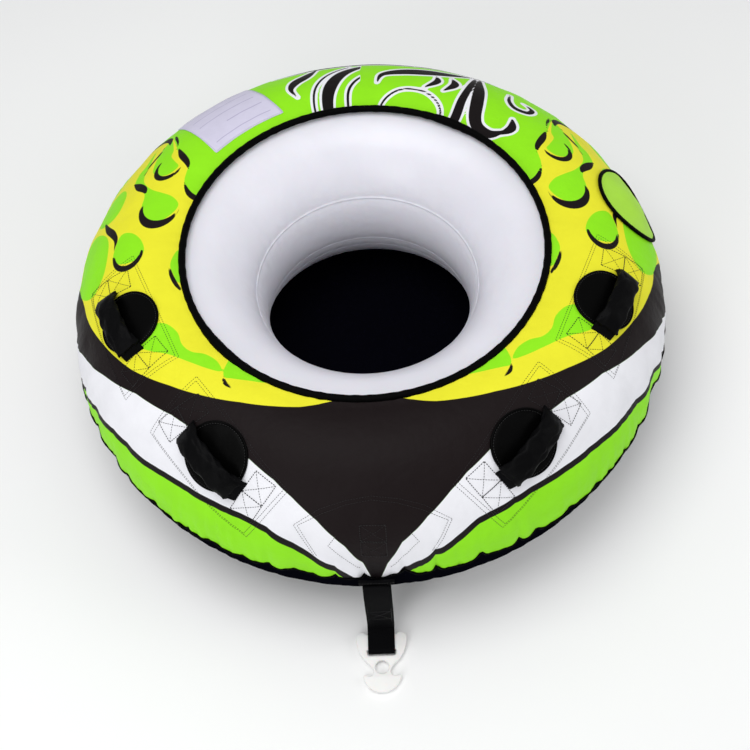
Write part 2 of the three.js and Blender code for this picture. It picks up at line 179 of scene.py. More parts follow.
def loft(name, rings, material, closed_path=False):
    """A skin over rings of points, each the same length, capped at its ends unless the path closes."""
    rings = np.asarray(rings, float)
    count, sides = rings.shape[:2]
    faces = grid_faces(count, sides, wrap_rows=closed_path, wrap_columns=True)
    if not closed_path:
        faces.append(list(range(sides))[::-1])
        faces.append([(count - 1) * sides + k for k in range(sides)])
    piece = mesh_piece(name, rings.reshape(-1, 3), faces, material)
    face_outwards(piece)
    return piece


def face_outwards(piece):
    active(piece)
    bpy.ops.object.mode_set(mode="EDIT")
    bpy.ops.mesh.select_all(action="SELECT")
    bpy.ops.mesh.normals_make_consistent(inside=False)
    bpy.ops.object.mode_set(mode="OBJECT")


def disc_faces(rows, sides):
    """Faces of a round pad: a point on top, rings from it out and back in below, and a point under it."""
    faces = [[k + 1 for k in face] for face in grid_faces(rows, sides, wrap_columns=True)]
    last = 1 + (rows - 1) * sides
    faces += [[0, 1 + k, 1 + (k + 1) % sides] for k in range(sides)]
    faces += [[last + sides, last + (k + 1) % sides, last + k] for k in range(sides)]
    return faces


def tape_ring(name, centres, radius, sides):
    """A closed round of rolled binding tape through points; its radius may change along it."""
    forward = np.roll(centres, -1, axis=0) - np.roll(centres, 1, axis=0)
    forward /= np.linalg.norm(forward, axis=1)[:, None]
    side = np.cross(forward, centres - np.array([0, 0, HALF_HEIGHT]))
    side /= np.linalg.norm(side, axis=1)[:, None]
    upward = np.cross(side, forward)
    radii = np.broadcast_to(radius, len(centres))[:, None, None]
    turn = np.linspace(0, 2 * np.pi, sides, endpoint=False)[None, :, None]
    rings = centres[:, None] + radii * (np.cos(turn) * side[:, None] + np.sin(turn) * upward[:, None])
    return loft(name, rings, TAPE, closed_path=True)


# ---- smooth outlines and their signed distances, for printed shapes ----

def curve_through(points, per, closed=False):
    """A smooth curve through given points, with per steps between each two."""
    points = np.asarray(points, float)
    count = len(points)
    steps = count if closed else count - 1
    out = []
    for i in range(steps):
        if closed:
            p0, p1, p2, p3 = (points[(i + k) % count] for k in (-1, 0, 1, 2))
        else:
            p0, p1, p2, p3 = (points[min(max(i + k, 0), count - 1)] for k in (-1, 0, 1, 2))
        for t in np.arange(per) / per:
            out.append(0.5 * (2 * p1 + (p2 - p0) * t + (2 * p0 - 5 * p1 + 4 * p2 - p3) * t ** 2
                              + (3 * p1 - p0 - 3 * p2 + p3) * t ** 3))
    if not closed:
        out.append(points[-1])
    return np.array(out)


def to_print(points):
    """Places (degrees, mm) as millimetres both ways."""
    points = np.array(points, float)
    points[:, 0] *= PRINT_STRETCH
    return points


def near_segments(where, path, widths=None):
    """Distance from each place to a path, less the half width there."""
    best = np.full(len(where), 1e9)
    for k in range(len(path) - 1):
        a, b = path[k], path[k + 1]
        along = b - a
        share = np.clip((where - a) @ along / max(along @ along, 1e-9), 0, 1)
        gap = np.linalg.norm(where - a - share[:, None] * along, axis=1)
        if widths is not None:
            gap = gap - (widths[k] + (widths[k + 1] - widths[k]) * share) / 2
        best = np.minimum(best, gap)
    return best


def area_field(where, outline, smooth=True):
    """Millimetres inside a closed printed outline, below zero outside."""
    path = to_print(outline)
    if smooth:
        path = curve_through(path, 5, closed=True)
    closed = np.vstack([path, path[:1]])
    inside = np.zeros(len(where), bool)
    for a, b in zip(closed[:-1], closed[1:]):
        crosses = (a[1] > where[:, 1]) != (b[1] > where[:, 1])
        reach = a[0] + (where[:, 1] - a[1]) * (b[0] - a[0]) / np.where(b[1] == a[1], 1e-9, b[1] - a[1])
        inside ^= crosses & (where[:, 0] < reach)
    gap = near_segments(where, closed)
    return np.where(inside, gap, -gap)


def stroke_field(where, path, widths):
    """Millimetres inside a brush stroke whose width is given at each of its points."""
    line = curve_through(to_print(path), 5)
    wide = curve_through([[w, 0] for w in widths], 5)[:, 0]
    return -near_segments(where, line, wide)


def oval_field(where, theta, arc, across, tall):
    """Millimetres inside an oval round a place, with its half sizes in mm."""
    x = (where[:, 0] - theta * PRINT_STRETCH) / across
    y = (where[:, 1] - arc) / tall
    return (1 - np.hypot(x, y)) * min(across, tall)


def crescent_field(where, outer, inner):
    """Inside the outer oval and outside the inner one."""
    return np.minimum(oval_field(where, *outer), -oval_field(where, *inner))


# ---- materials ----

def colour(hex_value):
    """sRGB hex to the linear colour that a shader reads."""
    def linear(c):
        return c / 12.92 if c <= 0.04045 else ((c + 0.055) / 1.055) ** 2.4
    return [linear(int(hex_value[i:i + 2], 16) / 255) for i in (0, 2, 4)] + [1.0]


def add_node(tree, kind, inputs=None, **settings):
    made = tree.nodes.new("ShaderNode" + kind)
    for key, value in settings.items():
        setattr(made, key, value)
    for key, value in (inputs or {}).items():
        if isinstance(value, bpy.types.NodeSocket):
            tree.links.new(value, made.inputs[key])
        else:
            made.inputs[key].default_value = value
    return made


def new_material(name, base, roughness, **extra):
    material = bpy.data.materials.new(name)
    material.use_nodes = True
    tree = material.node_tree
    shader = tree.nodes["Principled BSDF"]
    shader.inputs["Roughness"].default_value = roughness
    shader.inputs["Base Color"].default_value = colour(base)
    for key, value in extra.items():
        shader.inputs[key.replace("_", " ")].default_value = value
    return material, tree, shader


def object_place(tree):
    return add_node(tree, "TexCoord").outputs["Object"]


def shader_colour(tree, hex_value):
    made = add_node(tree, "RGB")
    made.outputs["Color"].default_value = colour(hex_value)
    return made.outputs["Color"]


def mix_colours(tree, share, first, second):
    """Goes from the first colour to the second as the share node's result goes from 0 to 1."""
    inputs = {"Factor": share.outputs["Result"], "A": first, "B": second}
    return add_node(tree, "Mix", inputs, data_type="RGBA").outputs["Result"]


def mottle(tree, base, size_m, amount):
    """The base colour, a little lighter and darker in patches of a real size."""
    noise = add_node(tree, "TexNoise", {"Vector": object_place(tree), "Scale": 1 / size_m, "Detail": 3.0})
    change = add_node(tree, "MapRange", {"Value": noise.outputs["Fac"], "From Min": 0.3, "From Max": 0.7,
                                         "To Min": 1 - amount, "To Max": 1 + amount})
    shaded = add_node(tree, "HueSaturation", {"Color": base, "Value": change.outputs["Result"]})
    return shaded.outputs["Color"]


def bumps(tree, shader, *layers):
    """Stacks bump layers, each a (height socket, depth in metres), on the shader's normal."""
    normal = None
    for height, depth in layers:
        bump = add_node(tree, "Bump", {"Height": height, "Distance": depth, "Strength": 1.0})
        if normal is not None:
            tree.links.new(normal, bump.inputs["Normal"])
        normal = bump.outputs["Normal"]
    tree.links.new(normal, shader.inputs["Normal"])


def noise_height(tree, size_m, detail):
    """Uneven heights, with lumps of a real size."""
    inputs = {"Vector": object_place(tree), "Scale": 1 / size_m, "Detail": detail}
    return add_node(tree, "TexNoise", inputs).outputs["Fac"]


def weave_height(tree, thread_m):
    """Over-and-under threads in two directions, from the cloth's own lengths (warp and weft)."""
    both = []
    for name in ("warp", "weft"):
        length = add_node(tree, "Attribute", attribute_name=name).outputs["Fac"]
        turns = add_node(tree, "Math", {0: length, 1: math.pi / thread_m}, operation="MULTIPLY")
        both.append(add_node(tree, "Math", {0: turns.outputs["Value"]}, operation="SINE").outputs["Value"])
    return add_node(tree, "Math", {0: both[0], 1: both[1]}, operation="MULTIPLY").outputs["Value"]


def printed_nylon():
    """Coated woven nylon with dye-printed panels: satin, with flat bright inks and crisp edges."""
    material, tree, shader = new_material("printed_coated_nylon", "92E81E", 0.52)
    inks = [("print_yellow", "EAE631"), ("print_lime", "90E81F"), ("print_black", "181112"),
            ("print_white", "EDEDF2"), ("print_line", "151011")]
    mixed = shader_colour(tree, "92E81E")
    edge_mm = 0.45
    for attribute, ink in inks:
        depth = add_node(tree, "Attribute", attribute_name=attribute).outputs["Fac"]
        cover = add_node(tree, "MapRange", {"Value": depth, "From Min": -edge_mm, "From Max": edge_mm})
        mixed = mix_colours(tree, cover, mixed, colour(ink))
    tree.links.new(mottle(tree, mixed, 0.05, 0.025), shader.inputs["Base Color"])
    shader.inputs["Specular IOR Level"].default_value = 0.09
    # The 0.5 mm threads would not show, so the weave is drawn with 1.6 mm ones.
    bumps(tree, shader, (noise_height(tree, 0.06, 3.0), 0.0035), (noise_height(tree, 0.012, 2.0), 0.0005),
          (weave_height(tree, 0.0016), 0.00006))
    return material


def black_nylon():
    """Heavy coated nylon, navy black, with a dull shine on its folds."""
    material, tree, shader = new_material("black_coated_nylon", "07070E", 0.55, Specular_IOR_Level=0.0)
    bumps(tree, shader, (noise_height(tree, 0.03, 3.0), 0.003), (weave_height(tree, 0.0016), 0.00008))
    return material


def lime_nylon():
    """The valve flap's plain dyed nylon, duller than the printed cover."""
    material, tree, shader = new_material("lime_dyed_nylon", "A0D73C", 0.6, Specular_IOR_Level=0.3)
    tree.links.new(mottle(tree, shader_colour(tree, "ABE341"), 0.04, 0.03), shader.inputs["Base Color"])
    bumps(tree, shader, (noise_height(tree, 0.03, 2.0), 0.0016), (weave_height(tree, 0.0016), 0.00006))
    return material


def pale_vinyl():
    """Welded vinyl sheet blown up tight: a soft satin white that is a little cool."""
    material, tree, shader = new_material("welded_vinyl", "E7E6EE", 0.36, Specular_IOR_Level=0.5,
                                          Subsurface_Weight=0.08, Subsurface_Scale=0.01)
    tree.links.new(mottle(tree, shader_colour(tree, "E7E6EE"), 0.09, 0.02), shader.inputs["Base Color"])
    bumps(tree, shader, (noise_height(tree, 0.05, 2.0), 0.0015), (noise_height(tree, 0.004, 1.0), 0.00004))
    return material


def folded_tape():
    """Black binding tape, folded and gathered, with a ribbed weave."""
    material, tree, shader = new_material("black_binding_tape", "020202", 0.62, Specular_IOR_Level=0.04)
    bumps(tree, shader, (noise_height(tree, 0.006, 3.0), 0.0008), (noise_height(tree, 0.0012, 1.0), 0.0001))
    return material


def woven_webbing():
    """Heavy polyester webbing: rows of fat ribs across its width, with painted shade in the grooves between
    them and a painted highlight on their tops.
    """
    material, tree, shader = new_material("polyester_webbing", "0B0B0C", 0.7, Specular_IOR_Level=0.04)
    across = add_node(tree, "Attribute", attribute_name="warp").outputs["Fac"]
    along = add_node(tree, "Attribute", attribute_name="weft").outputs["Fac"]
    shift = add_node(tree, "Math", {0: across, 1: 0.5}, operation="MULTIPLY")
    slanted = add_node(tree, "Math", {0: along, 1: shift.outputs["Value"]}, operation="ADD")
    per_rib = 2 * math.pi / 0.0024
    turns = add_node(tree, "Math", {0: slanted.outputs["Value"], 1: per_rib}, operation="MULTIPLY")
    rib = add_node(tree, "Math", {0: turns.outputs["Value"]}, operation="SINE")
    # painted shade and highlight: the colour goes darker in each groove and lighter on each rib's top,
    # following the rib relief
    rib_shade = add_node(tree, "MapRange", {"Value": rib.outputs["Value"], "From Min": -1.0})
    tree.links.new(mix_colours(tree, rib_shade, colour("020203"), colour("0E0E10")), shader.inputs["Base Color"])
    bumps(tree, shader, (noise_height(tree, 0.01, 2.0), 0.0004), (rib.outputs["Value"], 0.00025))
    return material


def stretched_neoprene():
    """Neoprene over foam: nearly black, soft, with fine creases where it is bent."""
    material, tree, shader = new_material("black_neoprene", "030304", 0.5, Specular_IOR_Level=0.06)
    bumps(tree, shader, (noise_height(tree, 0.014, 4.0), 0.0016), (noise_height(tree, 0.0016, 1.0), 0.00012))
    return material


def moulded_foam():
    """The knuckle pads' closed-cell foam skin, smooth with a fine leathery grain."""
    material, tree, shader = new_material("black_foam_pad", "010101", 0.45, Specular_IOR_Level=0.05)
    bumps(tree, shader, (noise_height(tree, 0.03, 2.0), 0.001), (noise_height(tree, 0.002, 2.0), 0.00012))
    return material


def white_nylon_moulding(name="moulded_white_nylon", base="F2F1EF"):
    """Injection-moulded nylon: smooth, slightly waxy white."""
    material, tree, shader = new_material(name, base, 0.38, Subsurface_Weight=0.1, Subsurface_Scale=0.004)
    tree.links.new(mottle(tree, shader_colour(tree, base), 0.02, 0.012), shader.inputs["Base Color"])
    bumps(tree, shader, (noise_height(tree, 0.0015, 1.0), 0.00003))
    return material


def label_cloth():
    """A smooth pale label, blank but for plain rules."""
    material, tree, shader = new_material("pale_label_cloth", "CFCBE0", 0.55, Specular_IOR_Level=0.3)
    rules = add_node(tree, "Attribute", attribute_name="rules").outputs["Fac"]
    cover = add_node(tree, "MapRange", {"Value": rules, "From Min": -0.3, "From Max": 0.3})
    ruled = mix_colours(tree, cover, colour("D3CFE4"), colour("B4AECB"))
    tree.links.new(mottle(tree, ruled, 0.02, 0.03), shader.inputs["Base Color"])
    bumps(tree, shader, (noise_height(tree, 0.02, 2.0), 0.001), (noise_height(tree, 0.0014, 1.0), 0.00005))
    return material


def backing_cloth():
    """Plain undyed nylon backing, seen only from inside the cover."""
    material, tree, shader = new_material("undyed_backing_nylon", "D2D2D8", 0.8, Specular_IOR_Level=0.2)
    tree.links.new(mottle(tree, shader_colour(tree, "D2D2D8"), 0.01, 0.05), shader.inputs["Base Color"])
    bumps(tree, shader, (noise_height(tree, 0.001, 1.0), 0.00008))
    return material


def bonded_thread(name, base):
    """Waxed polyester thread with a slight gloss."""
    material, tree, shader = new_material(name, base, 0.45, Specular_IOR_Level=0.5)
    bumps(tree, shader, (noise_height(tree, 0.0006, 1.0), 0.00005))
    return material


def studio_floor():
    """Seamless matt paper, nearly white."""
    material, tree, shader = new_material("white_studio_paper", "FFFFFF", 0.9, Specular_IOR_Level=0.1)
    tree.links.new(mottle(tree, shader_colour(tree, "FDFDFD"), 0.3, 0.003), shader.inputs["Base Color"])
    return material


PRINT = printed_nylon()
BLACK_NYLON = black_nylon()
LIME_NYLON = lime_nylon()
VINYL = pale_vinyl()
TAPE = folded_tape()
WEBBING = woven_webbing()
NEOPRENE = stretched_neoprene()
FOAM = moulded_foam()
HOOK_NYLON = white_nylon_moulding()
VALVE_VINYL = white_nylon_moulding("moulded_valve_vinyl", "E4E4E2")
LABEL = label_cloth()
BACKING = backing_cloth()
DARK_THREAD = bonded_thread("black_thread", "0B0A0C")
LIME_THREAD = bonded_thread("lime_thread", "8FC934")
PALE_THREAD = bonded_thread("pale_thread", "BDB7D2")


# ---- the cover's gathers ----

def gather_wave(theta):
    """0 on the round of each gather, rising to 1 in the sharp fold between two gathers."""
    a = np.radians(theta)
    phase = a * PUCKER_COUNT / 2 + 0.8 * np.sin(3 * a + 0.7) + 0.5 * np.sin(7 * a + 2.1)
    phase += 0.35 * np.sin(13 * a)
    return 1 - np.abs(np.sin(phase + 0.5 * np.sin(23 * a + 1.9) + 0.3 * np.sin(41 * a))) ** 0.6


def gather_size(theta):
    """How deep the gathers are here, about 0.2 to 1."""
    a = np.radians(theta)
    return 0.62 + 0.2 * np.sin(5 * a + 1.0) + 0.16 * np.sin(17 * a + 0.4) + 0.16 * np.sin(37 * a + 2.3)


def seam_arc(theta):
    """Arc of the seam between the covers: drawn up a little in each fold."""
    a = np.radians(theta)
    notch = gather_wave(theta) ** 2.6 * gather_size(theta)
    wobble = 0.0016 * np.sin(97 * a + 2 * np.sin(11 * a)) + 0.0012 * np.sin(149 * a + 1.4)
    return section_arc(90.0) + 0.004 - 0.020 * notch + wobble


def seam_lift(theta):
    """How far the seam stands off the plain ring."""
    return 0.002 - PUCKER_DEPTH * gather_wave(theta) * gather_size(theta)


def cover_relief(theta, arc):
    """How far the blown-up cover stands off the plain ring: folds that die away from the seam."""
    a = np.radians(theta)
    seam = section_arc(90.0)
    below = np.abs(seam - arc)
    folds = -PUCKER_DEPTH * gather_wave(theta) * gather_size(theta) * np.exp(-below / 0.052)
    fine = 1 - np.abs(np.sin(62 * a + 1.2 * np.sin(13 * a) + 6.0 * below)) ** 0.7
    fine += 0.7 * (1 - np.abs(np.sin(97 * a + 1.5 * np.sin(7 * a + 1) - 5.0 * below)) ** 0.7)
    folds -= 0.0030 * fine * np.exp(-(below / 0.075) ** 1.5) * (0.65 + 0.35 * np.sin(9 * a + 0.5))
    tension = 0.0016 * np.sin(31 * a + 1.5 * np.sin(5 * a)) * np.exp(-((seam - 0.09 - arc) / 0.06) ** 2)
    hem = section_arc(HEM_ANGLE)
    frill = 0.0005 * np.sin(78 * a + 2.0 * np.sin(4 * a)) * np.exp(-np.abs(arc - hem) / 0.014)
    return folds + tension + frill + 0.002 * np.exp(-below / 0.03)


def under_cover(theta, arc):
    """The bladder gives way a little under the cover's folds."""
    return 0.8 * np.minimum(cover_relief(theta, arc), 0) * np.clip((arc - 0.15) / 0.06, 0, 1)


# ---- ring skins ----

def ring_skin(name, sections, lift, material, columns=720, arcs=None):
    """A skin round the whole ring. Its rows run down the section, and lift takes an angle and an arc."""
    thetas = np.arange(columns) * 360.0 / columns
    theta, section = np.meshgrid(thetas, sections)
    if arcs is not None:
        section = section_angle(arcs(theta, section_arc(section)))
    arc = section_arc(section)
    points = ring_point(theta, section, lift(theta, arc)).reshape(-1, 3)
    faces = [f[::-1] for f in grid_faces(len(sections), columns, wrap_columns=True)]
    piece = mesh_piece(name, points, faces, material)
    folded = np.where(theta > 180, 360 - theta, theta)
    add_values(piece, "warp", (np.radians(folded) * way_radius(section).mean()).ravel())
    add_values(piece, "weft", arc.ravel())
    return piece, theta.ravel(), arc.ravel()


def bladder_depth(section):
    """How deep the bladder lies: under the cover's cloth outside, and bare on the well's side."""
    bare = np.clip((np.abs(section - 90) - 98) / 30, 0, 1)
    bare = bare * bare * (3 - 2 * bare)
    return BLADDER_DEPTH_COVERED + (BLADDER_DEPTH_BARE - BLADDER_DEPTH_COVERED) * bare


def weld_relief(theta, section):
    """A smooth raised flange at each weld, with the vinyl drawn down into it on both sides."""
    a = np.radians(theta)
    relief = np.zeros_like(section)
    for k, weld in enumerate(WELDS):
        away = np.abs(section - weld) * HALF_WIDTH * math.pi / 180
        relief += 0.0014 * np.exp(-(away / 0.0018) ** 2)
        ripple = np.sin(40 * a + k + 2.2 * np.sin(6 * a)) + 0.6 * np.sin(67 * a + 1.3 * np.sin(9 * a))
        relief += 0.0004 * ripple * np.exp(-away / 0.02) * np.clip(away / 0.006, 0, 1)
        relief -= 0.0018 * np.exp(-away / 0.01)
    return relief


LOWER_WELD = 258.0           # the pale line low in the seat well
WELDS = [-180 + WELD_ANGLE, -WELD_ANGLE, WELD_ANGLE, 180 - WELD_ANGLE, 180 + WELD_ANGLE, 360 - WELD_ANGLE,
         LOWER_WELD]


def make_bladder_panel(name, start, end, rows, columns):
    """One vinyl panel between two welds, with its rows close together near them."""
    sections = start + (end - start) * (0.5 - 0.5 * np.cos(np.linspace(0, np.pi, rows)))
    if start < LOWER_WELD < end:
        sections = np.unique(np.concatenate([sections, LOWER_WELD + np.linspace(-2.4, 2.4, 17)]))

    def lift(theta, arc):
        section = np.broadcast_to(sections[:, None], theta.shape)
        return -bladder_depth(section) + weld_relief(theta, section) + under_cover(theta, arc)

    piece, theta, arc = ring_skin(name + "_skin", sections, lift, VINYL, columns=columns)
    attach(piece, "tube")
    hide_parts(name)
    if start < 0:
        cut_round_hole(piece, VALVE_BORE)


def make_bladder():
    make_bladder_panel("bladder_top_panel", -WELD_ANGLE, WELD_ANGLE, 60, 540)
    make_bladder_panel("bladder_outer_wall", WELD_ANGLE, 180 - WELD_ANGLE, 12, 240)
    make_bladder_panel("bladder_lower_panel", 180 - WELD_ANGLE, 180 + WELD_ANGLE, 54, 540)
    make_bladder_panel("bladder_inner_wall", 180 + WELD_ANGLE, 360 - WELD_ANGLE, 40, 540)


# ---- the printed cover ----

# The print's outlines, on the right half: degrees round the ring and mm over it.
BLACK_TOP = [(2.5, -75), (5.8, -54), (8.3, -48), (12.5, -38), (18.3, -21), (25, -7), (33, 11), (42, 37),
             (50, 62), (60, 100), (70, 132), (75, 150), (80, 167), (85, 181), (88, 197), (91.5, 230),
             (92.5, 262), (93, 330)]
BLACK_FOOT = [(88, 330), (84, 275), (78, 240), (75, 218), (70, 190), (65, 163), (55, 119), (45, 97),
              (40, 93.5), (32, 90), (25, 94), (19, 115), (15, 137), (10, 172), (5, 220), (2.2, 268),
              (1.2, 300), (0.4, 332)]
STRIP_LINE = [(2.6, 352), (4.2, 320), (7, 287), (10, 264), (15, 232), (20, 208), (25, 200), (30, 197.5),
              (35, 198), (40, 201), (45, 208), (50, 216), (55, 223), (60, 238), (65, 254), (70, 272),
              (74, 296), (77, 335)]
YELLOW_REAR = [(93, 330), (112, 330), (121, 250), (126, 185), (128, 140), (129, 105), (127, 78), (125, 56),
               (123.3, 30), (121, 6), (117, -3), (113.5, -14), (111.5, -34), (109.5, -75)]
YELLOW_FRONT = [(-10, -75), (-10, 40), (20, 40), (32, 50), (45, 72), (60, 118), (72, 175), (84, 232),
                (88, 270)]


def print_places(theta, arc):
    """Each point's place in the print, mirrored left to right, with the print drawn in by the gathers."""
    folded = np.abs(np.where(theta > 180, theta - 360, theta))
    drawn = 9.0 * gather_wave(theta) * gather_size(theta) * np.clip((arc - 0.17) / 0.11, 0, 1)
    return np.stack([folded * PRINT_STRETCH, arc / MM + drawn], axis=-1)


def print_yellow(where):
    """The yellow panel round the hem."""
    return area_field(where, YELLOW_FRONT + YELLOW_REAR, smooth=False)


def print_lime(where):
    """Rounded lime islands on the yellow."""
    islands = [
        [(22, -75), (25, -56), (28.5, -48), (34.7, -34), (39, -20), (41, -13), (42.7, -22), (44.3, -44),
         (45, -75)],
        [(43, -19), (46.5, -28), (50.5, -22), (53.5, -6), (57, -1), (61, -6), (65, 4), (66.6, 25), (65.5, 50),
         (63, 64), (60, 50), (56.5, 28), (51, 8), (46, -7)],
        [(75, -75), (78, -40), (81, -34), (84.1, -29), (87, -32), (90.5, -44), (92, -75)],
        [(90.5, 21), (94, 30), (96.5, 50), (97, 74), (94.5, 84), (90, 87), (88.2, 76), (87.4, 52),
         (88.2, 32)],
        [(107.4, -20), (103.4, -14), (100.4, 4), (100.3, 25), (102.2, 45), (105.3, 52), (108.4, 56),
         (110.4, 69), (112.2, 100), (116.5, 113), (119.2, 111), (122.9, 122), (125.3, 128), (119.7, 100),
         (115.8, 91), (113.1, 77), (110.9, 48), (110.2, 21), (109.6, -2)],
        [(120.2, 26), (116.8, 33), (115.7, 54), (116.7, 73), (119.8, 87), (124.5, 102), (128.5, 106),
         (125.2, 70), (122.8, 60), (121.2, 38)],
        [(86, 112), (90.5, 103), (95.5, 107), (98.5, 125), (100.2, 160), (99.5, 192), (96, 216), (90, 212),
         (85, 178), (83.2, 140)],
        [(106, 106), (110, 112), (112, 135), (110.5, 165), (107, 184), (103, 170), (101.8, 140), (103, 115)],
        [(113, 170), (118, 160), (122, 172), (122, 205), (118, 235), (113, 225), (111, 195)],
    ]
    return np.max([area_field(where, island) for island in islands], axis=0)


def print_black(where):
    """The black field with its point at the nose, and the black shadows of the lime islands."""
    field = [area_field(where, [(-12, -75)] + BLACK_TOP + BLACK_FOOT + [(-12, 340)], smooth=False)]
    shadows = [((105.0, 14, 53, 39), (107.4, 13, 50, 37), 107.5),
               ((119.4, 45, 39, 28), (121.0, 45, 38, 25), 120.4),
               ((90.6, 55, 40, 33), (92.2, 55, 39, 29), 90.8)]
    for outer, inner, end in shadows:
        before = end * PRINT_STRETCH - where[:, 0]
        field.append(np.minimum(crescent_field(where, outer, inner), before))
    strokes = [
        ([(74.8, -42), (77.7, -35), (81.6, -29), (85.4, -26)], [4, 8, 7, 1]),
        ([(41.6, -16), (40.6, -8), (39, -4), (35.8, -6)], [1, 6, 7, 1]),
        ([(92.4, 87), (95.6, 88), (98, 102), (100, 122), (103.2, 147)], [1, 9, 14, 12, 1]),
        ([(109.4, 57), (110.8, 66), (111.8, 84), (113.2, 108)], [1, 13, 16, 1]),
        ([(110.8, -60), (112.0, -34), (113.2, -22), (115.6, -7)], [16, 14, 10, 1]),
        ([(120.4, 3), (122.4, 16), (124, 38), (126, 62)], [1, 12, 14, 1]),
        ([(125.4, 64), (127.6, 76), (129.3, 98), (130.2, 112)], [1, 4, 6, 1]),
        ([(126.6, 94), (128.4, 112), (128.6, 132), (127.5, 150), (125, 190)], [2, 12, 15, 13, 8]),
        ([(115.4, 92), (119, 97), (123, 98.5), (126, 106)], [1, 6, 6, 1]),
    ]
    field += [stroke_field(where, path, widths) for path, widths in strokes]
    return np.max(field, axis=0)


def rear_strokes():
    """Plain sweeping bands at the back, right and left: the path and the widths of each."""
    right = [
        ([(151, 135), (149.5, 96), (147.6, 60), (145.4, 20), (143, -14), (140, -32), (135.5, -34),
          (132.6, -12)], [2, 12, 22, 27, 27, 24, 22, 8]),
        ([(132.6, -14), (131.8, 6), (134.2, 28)], [10, 20, 3]),
        ([(152, 130), (151, 90), (150.3, 50), (149.6, 10), (148.4, -30), (147.4, -80)],
         [2, 10, 14, 18, 22, 24]),
        ([(153, 126), (157, 100), (163, 84), (169, 70), (174, 52), (175.2, 22)], [4, 20, 30, 25, 12, 2]),
        ([(141.5, 105), (139.8, 76), (136.8, 62), (133.6, 72), (134, 92), (137, 97)],
         [3, 8, 10, 11, 10, 3]),
        ([(151.5, -80), (154, -28), (159, 2), (164, 10), (169, 0), (173, -34), (174, -80)], [5] * 7),
        ([(156, 76), (154.2, 52), (156, 24)], [2, 17, 3]),
        ([(160, 70), (159, 48), (161.5, 22)], [2, 15, 3]),
        ([(147, 150), (158, 140), (170, 128), (182, 124)], [16, 20, 20, 18]),
    ]
    left = [
        ([(181, 98), (175.4, 62), (171.6, 20), (169.6, -22), (168.8, -80)], [12, 22, 27, 26, 24]),
        ([(183, 60), (178.6, 28), (176.2, -10), (175.8, -80)], [5, 6, 6, 6]),
        ([(177, 98), (171.2, 62), (167.2, 22), (165.2, -24), (164.6, -80)], [4, 5, 5, 5, 5]),
        ([(169.2, 112), (166.2, 80), (162.6, 60), (160.6, 36), (161.4, 8)], [3, 20, 20, 9, 2]),
        ([(159, 128), (168, 122), (182, 124)], [2, 14, 18]),
    ]
    return right, left


def print_rear(where, theta):
    """Millimetres inside the bands at the back, far below zero elsewhere."""
    right, left = rear_strokes()
    behind = where[:, 0] > 128 * PRINT_STRETCH
    field = np.full(len(where), -60.0)
    for side, strokes in ((theta < 180, right), (theta >= 180, left)):
        pick = behind & side
        near = [stroke_field(where[pick], path, widths) for path, widths in strokes]
        field[pick] = np.max(near, axis=0)
    return field


def print_white(where, rear):
    """The white stripe under the black field, and a pale edge round the bands at the back."""
    outline = [(-12, 348)] + BLACK_FOOT[::-1] + [(82, 335)] + STRIP_LINE[::-1] + [(-12, 352)]
    panel = area_field(where, outline, smooth=False)
    pale_edge = 5.5
    return np.maximum(panel, rear + pale_edge)


def print_line(where, rear):
    """The dark strip between white and lime, the bands at the back and the black over the nose."""
    strip = stroke_field(where, STRIP_LINE, [13] * len(STRIP_LINE))
    nose_panel = [(-12, 260), (1.6, 260), (1.2, 300), (0.4, 332), (-12, 338)]
    nose = np.minimum(area_field(where, nose_panel, smooth=False), 5)
    return np.max([strip, rear, nose], axis=0)


def make_top_cover():
    """The printed cover from its hem out to the seam, its rows close together near both."""
    hem, seam = section_arc(HEM_ANGLE), section_arc(90.0)
    near_hem = hem + np.linspace(0, 0.02, 5)
    middle = np.linspace(hem + 0.025, seam - 0.082, 46)
    near_seam = np.linspace(seam - 0.079, seam, 30)
    rows = section_angle(np.concatenate([near_hem, middle, near_seam]))

    def arcs(theta, arc):
        share = np.clip((arc - seam + 0.075) / 0.075, 0, 1) ** 1.5
        return arc + share * (seam_arc(theta) - seam)

    def lift(theta, arc):
        flare = HEM_LIFT * np.clip(1 - (arc - hem) / 0.022, 0, 1) ** 2
        return cover_relief(theta, arc) + flare

    piece, theta, arc = ring_skin("printed_top_cover", rows, lift, PRINT, arcs=arcs)
    where = print_places(theta, arc)
    rear = print_rear(where, theta)
    add_values(piece, "print_yellow", print_yellow(where))
    add_values(piece, "print_lime", print_lime(where))
    add_values(piece, "print_black", print_black(where))
    add_values(piece, "print_white", print_white(where, rear))
    add_values(piece, "print_line", print_line(where, rear))
    cut_round_hole(piece, VALVE_HOLE)
    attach(piece, "tube")
    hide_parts("top_cover")


def cut_round_hole(piece, reach):
    """Opens a skin over the valve and draws the cut edge to a true circle, out to reach."""
    place = ring_frame(FLAP["angle"], FLAP["arc"])
    active(piece)
    bpy.ops.object.mode_set(mode="EDIT")
    bpy.ops.mesh.select_all(action="DESELECT")
    shape = bmesh.from_edit_mesh(piece.data)
    for face in shape.faces:
        near = place.inverted() @ face.calc_center_median()
        face.select = near.xy.length < reach - 0.0018 and abs(near.z) < 0.03
    bmesh.update_edit_mesh(piece.data)
    bpy.ops.mesh.delete(type="FACE")
    bpy.ops.object.mode_set(mode="OBJECT")
    shape = bmesh.new()
    shape.from_mesh(piece.data)
    for vertex in shape.verts:
        near = place.inverted() @ vertex.co
        if vertex.is_boundary and near.xy.length < reach + 0.02 and abs(near.z) < 0.03:
            near.xy *= reach / near.xy.length
            vertex.co = place @ near
    shape.to_mesh(piece.data)
    shape.free()


